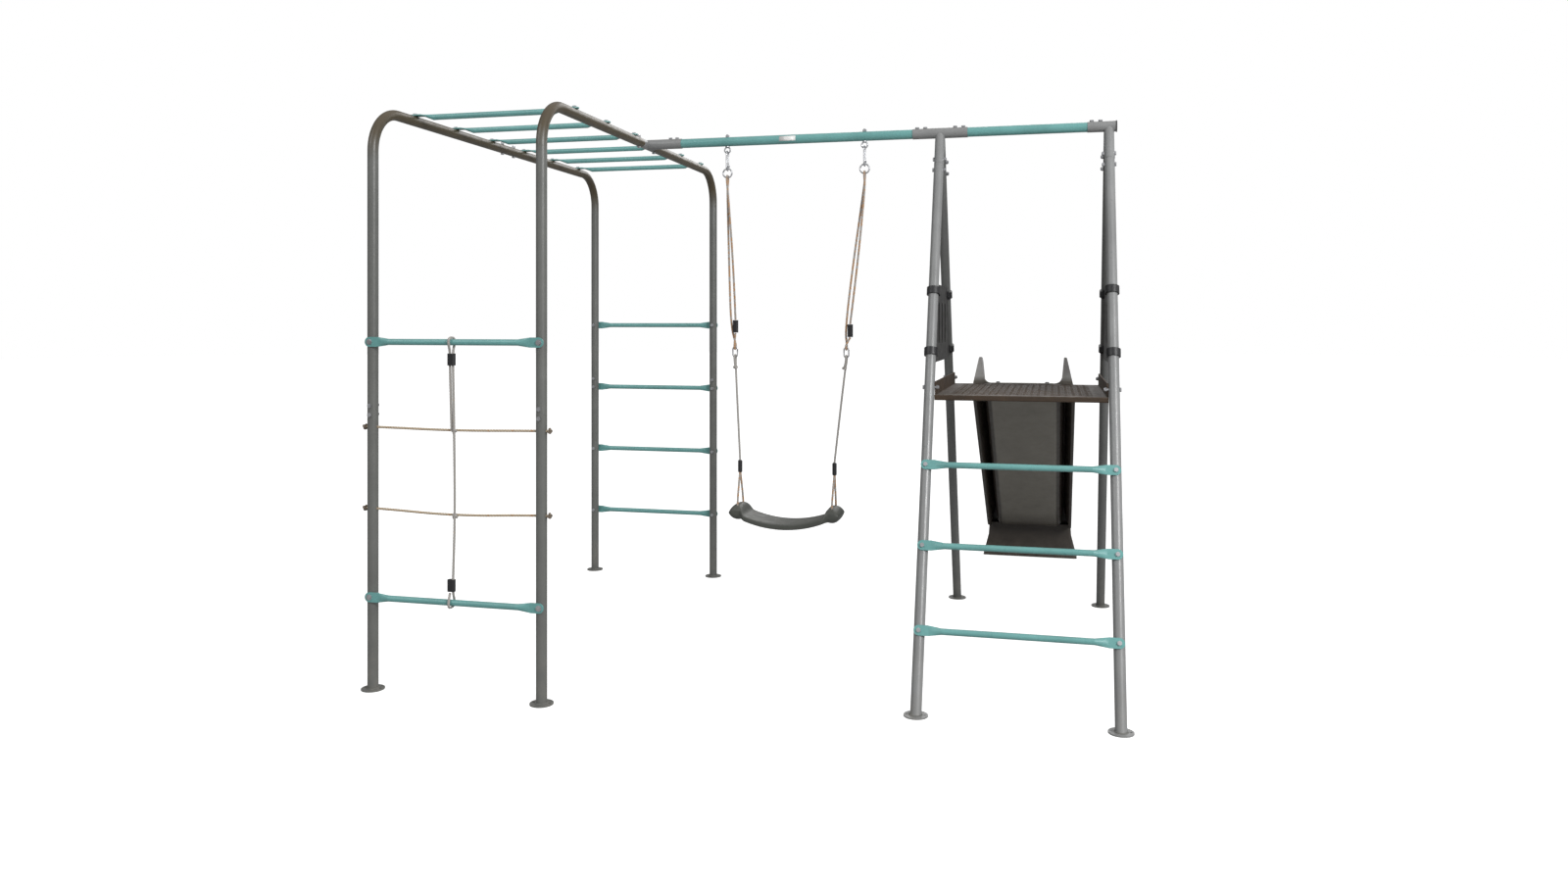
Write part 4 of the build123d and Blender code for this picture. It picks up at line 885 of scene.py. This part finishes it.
def swing_routes(hand):
    """The upper rope, the lower rope and the seat loop of one side."""
    ring_x, hole_x, adjuster_z = HANDS[hand]
    slope = (hole_x - ring_x) / (RING_WIRE_Z - CRIMP_LOW)

    def hang_x(z):
        return round(ring_x + slope * (RING_WIRE_Z - z), 2)

    link_x, adjuster_x = hang_x((LINK_HIGH + LINK_LOW) / 2), hang_x(adjuster_z)
    knot_z = LINK_LOW - 40
    fall_x, crimp_x = hang_x(knot_z), hang_x((CRIMP_HIGH + CRIMP_LOW) / 2)
    upper = [(adjuster_x + 6, BEAM, adjuster_z + 25), (hang_x(1400) + 9, BEAM - 2, 1400),
             (ring_x + 3, BEAM - 6, RING_WIRE_Z - 48),
             *wire_loop(ring_x, RING_WIRE_Z - LOOP_LEG, RING_WIRE_Z + RING_WRAP, 1),
             (ring_x - 3, BEAM + 6, RING_WIRE_Z - 48), (hang_x(1400) - 10, BEAM + 3, 1400),
             (adjuster_x - 13, BEAM + 2, adjuster_z),
             *wire_loop(link_x, LINK_HIGH + LOOP_LEG - 2, LINK_HIGH - LINK_WRAP, -1),
             (adjuster_x + 6, BEAM - 1, adjuster_z - 26.2)]
    lower = [(crimp_x, BEAM, CRIMP_HIGH + 0.4), (fall_x, BEAM, knot_z - 12),
             *wire_loop(link_x, LINK_LOW - LOOP_LEG, LINK_LOW + LINK_WRAP, -1),
             (fall_x - 1, BEAM - 4, knot_z)]
    half = [(crimp_x, 4.2, CRIMP_LOW - 1), (hole_x, HOLE_HALF, LUMP_Z + 42),
            (hole_x, HOLE_HALF, GROOVE_Z + 8), (hole_x, HOLE_HALF - 6, GROOVE_Z)]
    loop = [(x, BEAM - y, z) for x, y, z in half] + [(x, BEAM + y, z) for x, y, z in reversed(half)]
    return upper, lower, loop


ROPE_FULLNESS, KNOT_FULLNESS = 0.52, 0.46       # radius over the strands, by the diameter


def make_rope(context, node_name, route, finish, body, knots=(), knot_finish=None):
    """One rope along its route, with its knots, in place of the CAD rope."""
    rope = context.scene.climb_ropes
    line, _ = even_steps(spline_line([Vector(p) * MM for p in route]), rope.step)
    mesh = laid_rope(node_name, line, ROPE_FULLNESS * rope.diameter, rope.lay, rope.sides)
    made = piece(node_name + ".laid", mesh, finish, body)
    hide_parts(node_name)
    for i, (centre, size, axis, turn) in enumerate(knots, 1):
        ring_line, _ = even_steps(knot_line(Vector(centre) * MM, size * MM, axis, turn), 1.6 * MM)
        name = f"{node_name}.knot_{i}"
        knot = laid_rope(name, ring_line, KNOT_FULLNESS * rope.diameter, rope.lay, rope.sides)
        piece(name, knot, knot_finish or finish, body)


class MakeRopes(bpy.types.Operator):
    """Lays every rope of the net and the swing along its smooth line, and ties the knots"""
    bl_idname = "climbing_frame.make_ropes"
    bl_label = "Make ropes"

    def execute(self, context):
        for name, (height, sag) in NET_HEIGHTS.items():
            route = cross_route(height, sag)
            ends = [(route[0], KNOT_SIZE, (1, 0, 0), 0.4), (route[-1], KNOT_SIZE, (1, 0, 0), 1.1)]
            make_rope(context, name, route, "Tan rope", "frame", ends, "Knot rope")
        crossings = [((NET_X + 1, FRONT - 7, 852), KNOT_SIZE, (0.2, 1, 0.1), 0.3),
                     ((NET_X + 5, FRONT - 7, 579), KNOT_SIZE, (-0.1, 1, 0.2), 0.9)]
        make_rope(context, "net_rope_vertical", long_route(), "Grey rope", "frame",
                  crossings)
        for hand in HANDS:
            upper, lower, loop = swing_routes(hand)
            make_rope(context, f"swing_rope_upper_{hand}", upper, "Swing rope",
                      "upper_swing")
            x, y, z = lower[-1]
            knot = [((x, y + 3, z), SMALL_KNOT_SIZE, (0.1, 0.2, 1), 0.7)]
            make_rope(context, f"swing_rope_lower_{hand}", lower, "Grey rope",
                      "lower_swing", knot)
            make_rope(context, f"seat_loop_{hand}", loop, "Swing rope",
                      "lower_swing")
        return {"FINISHED"}


class FinishFrame(bpy.types.Operator):
    """Paints the posts, rails, beam, couplers, legs and rungs"""
    bl_idname = "climbing_frame.finish_frame"
    bl_label = "Finish frame"

    def execute(self, context):
        paint("Post paint", *(n for n in NODES if n.startswith("lower_post")))
        paint("Rail paint with painted shade", *(n for n in NODES if n.startswith("upper_frame")))
        paint("Tower paint", "rail_tee", "tower_tee", "end_coupler",
              *(n for n in NODES if n.startswith("tower_leg")))
        paint("Teal paint", "swing_beam", "tower_beam", "net_bar_top", "net_bar_bottom",
              *(n for n in NODES if n.startswith(("monkey_rung", "ladder_rung", "tower_step"))))
        paint("Zinc", "joint_inserts", "eye_bolts", "rung_bolts", "frame_bolts", "swing_rings", "snap_hooks",
              "hook_gate_left", "hook_gate_right", "rope_links")
        paint("Black plastic", "beam_end_cap", "guard_clamps", "net_clamps", "rope_adjusters", "rope_crimps")
        paint("Guard plastic", "side_guard_inner", "side_guard_outer")
        paint("Deck plastic", "deck")
        paint("Slide plastic", "slide")
        paint("Swing plastic", "swing_seat")
        return {"FINISHED"}


FOOT_RADIUS, FOOT_TOP, BEAD_RADIUS = 37.5 * MM, 4.6 * MM, 2.8 * MM
TAB_THICKNESS = 4 * MM
WASHER_RADIUS, WASHER_THICKNESS = 9.8 * MM, 0.8 * MM
LABEL_LOW, LABEL_HIGH, LABEL_ROWS = -26, 38, 12        # degrees round the beam, and rows of faces
LABEL_EDGE = ((-33.5, 0.05), (-33.5, 0.3), (30.5, 0.3), (30.5, 0.05))      # place along the beam, lift


class MakeFittings(bpy.types.Operator):
    """Adds the washers under the bolt heads, the weld beads at the feet and the blank label"""
    bl_idname = "climbing_frame.make_fittings"
    bl_label = "Make fittings"

    def execute(self, context):
        self.washers()
        self.welds()
        self.label()
        return {"FINISHED"}

    @staticmethod
    def washers():
        """A washer under each bolt head of the net bars, the ladder and the overhead rungs."""
        half, lift = TAB_THICKNESS / 2, WASHER_THICKNESS / 2
        points, facings = [], []
        for names, facing in ((("net_bar_top", "net_bar_bottom"), (0, -1, 0)),
                              ([f"ladder_rung_{i}" for i in range(1, 5)], (0, 1, 0)),
                              ([f"monkey_rung_{i}" for i in range(1, 7)], (0, 0, 1))):
            for name in names:
                low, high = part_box(name)
                centre = (low + high) / 2
                if facing[1]:
                    inset = (high.z - low.z) / 2
                    y, z = centre.y + facing[1] * (half + lift), centre.z
                else:
                    inset = (high.y - low.y) / 2
                    y, z = centre.y, high.z + lift
                points += [(low.x + inset, y, z), (high.x - inset, y, z)]
                facings += [facing, facing]
        mesh = grown("washers", points_mesh("washer points", points, facings), washer_tree(), {
            "Radius": WASHER_RADIUS, "Thickness": WASHER_THICKNESS, "Finish": material("Zinc")})
        piece("rung_washers", mesh, "Zinc", "frame", smooth=False)

    @staticmethod
    def welds():
        """A ring of weld beads where each tube stands on its foot plate."""
        feet = []
        for name in NODES:
            if name.startswith(("lower_post", "tower_leg")):
                low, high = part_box(name)
                if name.startswith("lower_post"):
                    y = (low.y + high.y) / 2
                else:
                    y = low.y + FOOT_RADIUS if name.endswith("front") else high.y - FOOT_RADIUS
                feet.append(((low.x + high.x) / 2, y, FOOT_TOP))
        mesh = grown("beads", points_mesh("foot points", feet, [(0, 0, 1)] * len(feet)), bead_tree(), {
            "Ring radius": TUBE_RADIUS + 1.2 * MM, "Bead radius": BEAD_RADIUS, "Beads": 34,
            "Finish": material("Post paint")})
        piece("foot_welds", mesh, "Post paint", "frame")

    @staticmethod
    def label():
        """The blank label, a thin film round part of the beam's front."""
        bm = bmesh.new()
        rows = []
        for i in range(LABEL_ROWS + 1):
            angle = math.radians(LABEL_LOW + (LABEL_HIGH - LABEL_LOW) * i / LABEL_ROWS)
            rows.append(ring_of(bm, [
                (x, BEAM - math.cos(angle) * reach, BEAM_Z / MM + math.sin(angle) * reach)
                for x, reach in ((x, TUBE_RADIUS / MM + lift) for x, lift in LABEL_EDGE)]))
        join_rings(bm, rows)
        piece("beam_label", finished_mesh("beam_label", bm), "Label film", "frame")


DECK_TOP, BED_TOP = 955, 957
STUD_ROWS, ROW_PITCH = 14, 47
STUD_PITCH, LANE_PITCH, STUD_REACH = 23, 12, 236


class MakeDeck(bpy.types.Operator):
    """Sets the anti-slip studs between the grooves of the platform"""
    bl_idname = "climbing_frame.make_deck"
    bl_label = "Make deck studs"

    def execute(self, context):
        centre_x, centre_y, _ = middle("deck")
        studs = []
        for row in range(STUD_ROWS):
            y = centre_y + (row + 0.5 - STUD_ROWS / 2) * ROW_PITCH
            for lane in (-1, 0, 1):
                for column in range(-10, 11):
                    across = (column + (0.5 if lane else 0.0)) * STUD_PITCH
                    if abs(across) < STUD_REACH:
                        place = Vector((centre_x + across, y + lane * LANE_PITCH, DECK_TOP - 0.2)) * MM
                        studs.append(place)
        mesh = grown("studs", points_mesh("stud points", studs), stud_tree(), {
            "Stud radius": 4.2 * MM, "Stud height": 1.1 * MM, "Finish": material("Deck plastic")})
        piece("deck_studs", mesh, "Deck plastic", "frame", smooth=False)
        return {"FINISHED"}


# half of the slide's skin in section, in millimetres from the middle of the bed: (out, up, corner radius)
SLIDE_TOP = ((126, 0, 40), (143, 5, 20), (152, 20, 30), (160, 104, 5.4), (171, 104, 5.4), (196, -8, 4),
             (205, -8, 2.4))
SLIDE_UNDER = ((205, -13, 2.4), (192, -13, 2), (167, 99, 1), (164.6, 99, 1), (156.9, 18.4, 16),
               (146.3, 0.8, 12), (126.7, -5, 30))
# outline of the web that closes a wall at either end of the slide
WALL_END = ((162, 102), (169, 102), (194, -10), (150, -10), (147, 3), (154.5, 20))
SKIN = 5
LIP = ((-120, -37, 8), (120, -37, 8), (120, 3, 8), (-120, 3, 8))
LIP_LEVELS = ((955.4, 1), (958.6, 1), (959.4, 0.994))          # height and scale
# outside of the foot from the ground up, then inside back down: (height, half width, half depth)
FOOT_LEVELS = ((0, 234, 46), (108, 207, 39), (169, 203, 37), (164, 198, 31), (108, 201, 33), (0, 228, 40))
FOOT_SETBACK, FOOT_CORNER = 46, 12


class MakeSlide(bpy.types.Operator):
    """Moulds the slide: the bed with its rounded walls and rims, the closed ends, the lip and the foot"""
    bl_idname = "climbing_frame.make_slide"
    bl_label = "Make slide"

    def execute(self, context):
        bm = bmesh.new()
        half = [*SLIDE_TOP, *SLIDE_UNDER]
        outline = rounded([*half, *((-u, w, r) for u, w, r in reversed(half))])
        back, end = DECK_BACK / MM, CAD_BOX[1].y / MM
        line = self.bent(((back + 1, BED_TOP, 0), (back + 52, BED_TOP, 70), (end - 190, 180, 170),
                          (end - 6, 172, 0)))
        rings = []
        for i, point in enumerate(line):
            along = (line[min(i + 1, len(line) - 1)] - line[max(i - 1, 0)]).normalized()
            if i == 0:
                along = Vector((1, 0))
            rings.append(self.section(bm, point, Vector((-along.y, along.x)), outline))
        join_rings(bm, rings)
        for start, inwards in ((line[0], Vector((1, 0))), (line[-1], (line[-2] - line[-1]).normalized())):
            lift = Vector((-inwards.y, inwards.x)) * (1 if inwards.x > 0 else -1)
            for side in (-1, 1):
                web = [(side * u, w) for u, w in WALL_END]
                join_rings(bm, [self.section(bm, start + inwards * depth, lift, web)
                                for depth in (0.3, SKIN)])
        self.foot(bm, end - FOOT_SETBACK)
        plate = rounded(LIP)
        join_rings(bm, [ring_of(bm, [(SLIDE_X / MM + x, back + y, z) for x, y in (p * scale for p in plate)])
                        for z, scale in LIP_LEVELS])
        mesh = finished_mesh("slide_moulding", bm)
        made = piece("slide_moulding", mesh, "Slide plastic", "frame")
        soften(mesh)
        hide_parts("slide")
        return {"FINISHED"}

    @staticmethod
    def section(bm, place, lift, outline):
        """An outline of (out, up) points square to the slide at a place on its middle line."""
        return ring_of(bm, [(SLIDE_X / MM + u, place.x + lift.x * w, place.y + lift.y * w)
                            for u, w in outline])

    @staticmethod
    def bent(route, steps=12):
        """The slide's middle line: straight runs joined by true arcs."""
        line = []
        for i, (y, z, radius) in enumerate(route):
            here = Vector((y, z))
            if not radius:
                line.append(here)
                continue
            before = (Vector(route[i - 1][:2]) - here).normalized()
            after = (Vector(route[i + 1][:2]) - here).normalized()
            half = before.angle(after) / 2
            cut = radius / math.tan(half)
            middle = here + (before + after).normalized() * radius / math.sin(half)
            first, last = here + before * cut - middle, here + after * cut - middle
            sweep = first.angle_signed(last)
            for k in range(steps + 1):
                turn = Matrix.Rotation(-sweep * k / steps, 2)
                line.append(middle + turn @ first)
        return line

    @staticmethod
    def foot(bm, centre_y):
        """The hollow foot that flares to the ground."""
        rings = []
        for z, half_x, half_y in FOOT_LEVELS:
            corners = ((-half_x, -half_y), (half_x, -half_y), (half_x, half_y), (-half_x, half_y))
            outline = rounded([(*corner, FOOT_CORNER) for corner in corners])
            rings.append(ring_of(bm, [(SLIDE_X / MM + x, centre_y + y, z) for x, y in outline]))
        join_rings(bm, rings[:3], close=False)
        join_rings(bm, [*rings[3:], rings[0]], close=False)
        bm.faces.new(rings[2])
        bm.faces.new(rings[3])


SEAT_HALF = (SEAT_HIGH.x - SEAT_LOW.x) / 2 / MM
SEAT_STATIONS, SEAT_SIDES = 72, 96
SAG_RADIUS, SLAB_Z, SLAB_HALF = 432.0, 427.5, 12.5
LUMP_X, LUMP_RADIUS = 184, 30
BLEND_X, BLEND_RUN = 150, 22            # where the slab starts to turn into the lump
HALF_DEPTH, NARROWING = 80, 14
RIB_PITCH, RIB_DEPTH = 13, 0.9
DRILL_RADIUS = 6 * MM


class MakeSeat(bpy.types.Operator):
    """Moulds the swing seat: a sagging slab with grip ribs, thick rolled ends and rope holes"""
    bl_idname = "climbing_frame.make_seat"
    bl_label = "Make seat"

    def execute(self, context):
        bm = bmesh.new()
        edge = SEAT_HALF - 0.02
        stations = (-SEAT_HALF * math.cos(math.pi * i / SEAT_STATIONS) for i in range(SEAT_STATIONS + 1))
        join_rings(bm, [self.ring(bm, max(-edge, min(edge, x))) for x in stations])
        holder = added("seat_blank", finished_mesh("seat_blank", bm))
        cutters = bmesh.new()
        for x in (-LUMP_X, LUMP_X):
            for y in (-HOLE_HALF, HOLE_HALF):
                place = Vector((SEAT_X + x * MM, BEAM_Y + y * MM, LUMP_Z * MM))
                bmesh.ops.create_cone(cutters, cap_ends=True, segments=20, radius1=DRILL_RADIUS,
                                      radius2=DRILL_RADIUS, depth=0.1, matrix=Matrix.Translation(place))
        tool = added("seat_drill", mesh_of("seat_drill", cutters))
        drill = holder.modifiers.new("drill", "BOOLEAN")
        drill.object, drill.operation, drill.solver = tool, "DIFFERENCE", "EXACT"
        cut = baked(holder)
        bpy.data.objects.remove(tool)
        made = piece("seat_moulding", cut, "Swing plastic", "lower_swing")
        soften(cut, math.radians(50))
        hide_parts("swing_seat")
        return {"FINISHED"}

    @staticmethod
    def ring(bm, x):
        """One cross section of the seat at x millimetres from its middle."""
        out = abs(x)
        blend = max(0.0, min(1.0, (out - BLEND_X) / BLEND_RUN))
        blend = blend * blend * (3 - 2 * blend)
        slab_z = SLAB_Z + SAG_RADIUS - math.sqrt(SAG_RADIUS ** 2 - min(out, 200) ** 2)
        centre_z = slab_z + (LUMP_Z - slab_z) * blend
        lump = math.sqrt(max(0.0, LUMP_RADIUS ** 2 - (out - LUMP_X) ** 2))
        thick = (SLAB_HALF ** 3 + lump ** 3) ** (1 / 3) if out < LUMP_X else lump
        half_height = min(max(0.35, thick), LUMP_RADIUS)
        half_depth = HALF_DEPTH - NARROWING * blend - 6 * max(0.0, (out - 196) / 18) ** 2
        power = 2 / (5.5 - 2.6 * blend)
        points = []
        for j in range(SEAT_SIDES):
            angle = 2 * math.pi * j / SEAT_SIDES
            c, s = math.cos(angle), math.sin(angle)
            y = half_depth * math.copysign(abs(c) ** power, c)
            z = half_height * math.copysign(abs(s) ** power, s)
            if s > 0.6 and out < BLEND_X:
                fade = RIB_DEPTH * min(1.0, (BLEND_X - out) / 20) * min(1.0, (s - 0.6) / 0.15)
                z += fade * (0.5 + 0.5 * math.cos(2 * math.pi * y / RIB_PITCH)) ** 2 - fade
            points.append((SEAT_X / MM + x, BEAM + y, centre_z + z))
        return ring_of(bm, points)


OPERATORS = (MakeFinishes, MakeStage, MakeRopes, FinishFrame, MakeFittings, MakeDeck, MakeSlide, MakeSeat)


class SidebarPanel(bpy.types.Panel):
    """Lists the steps and the settings"""
    bl_idname = "VIEW3D_PT_climbing_frame"
    bl_label = "Climbing frame"
    bl_space_type = "VIEW_3D"
    bl_region_type = "UI"
    bl_category = "Climbing Frame"

    def draw(self, context):
        for operator in OPERATORS:
            self.layout.operator(operator.bl_idname)
        for attribute, group in SETTINGS.items():
            box = self.layout.box()
            for name in group.__annotations__:
                box.prop(getattr(context.scene, attribute), name)


def register():
    """Registers the settings, the operators and the panel."""
    for attribute, group in SETTINGS.items():
        bpy.utils.register_class(group)
        setattr(bpy.types.Scene, attribute, bpy.props.PointerProperty(type=group))
    for item in (*OPERATORS, SidebarPanel):
        bpy.utils.register_class(item)


def unregister():
    """Takes them away again."""
    for item in (SidebarPanel, *reversed(OPERATORS)):
        bpy.utils.unregister_class(item)
    for attribute, group in SETTINGS.items():
        delattr(bpy.types.Scene, attribute)
        bpy.utils.unregister_class(group)


def main():
    """Builds everything in order."""
    register()
    bpy.ops.climbing_frame.make_finishes()
    bpy.ops.climbing_frame.make_stage()
    bpy.ops.climbing_frame.make_ropes()
    bpy.ops.climbing_frame.finish_frame()
    bpy.ops.climbing_frame.make_fittings()
    bpy.ops.climbing_frame.make_deck()
    bpy.ops.climbing_frame.make_slide()
    bpy.ops.climbing_frame.make_seat()


if __name__ == "__main__":
    main()
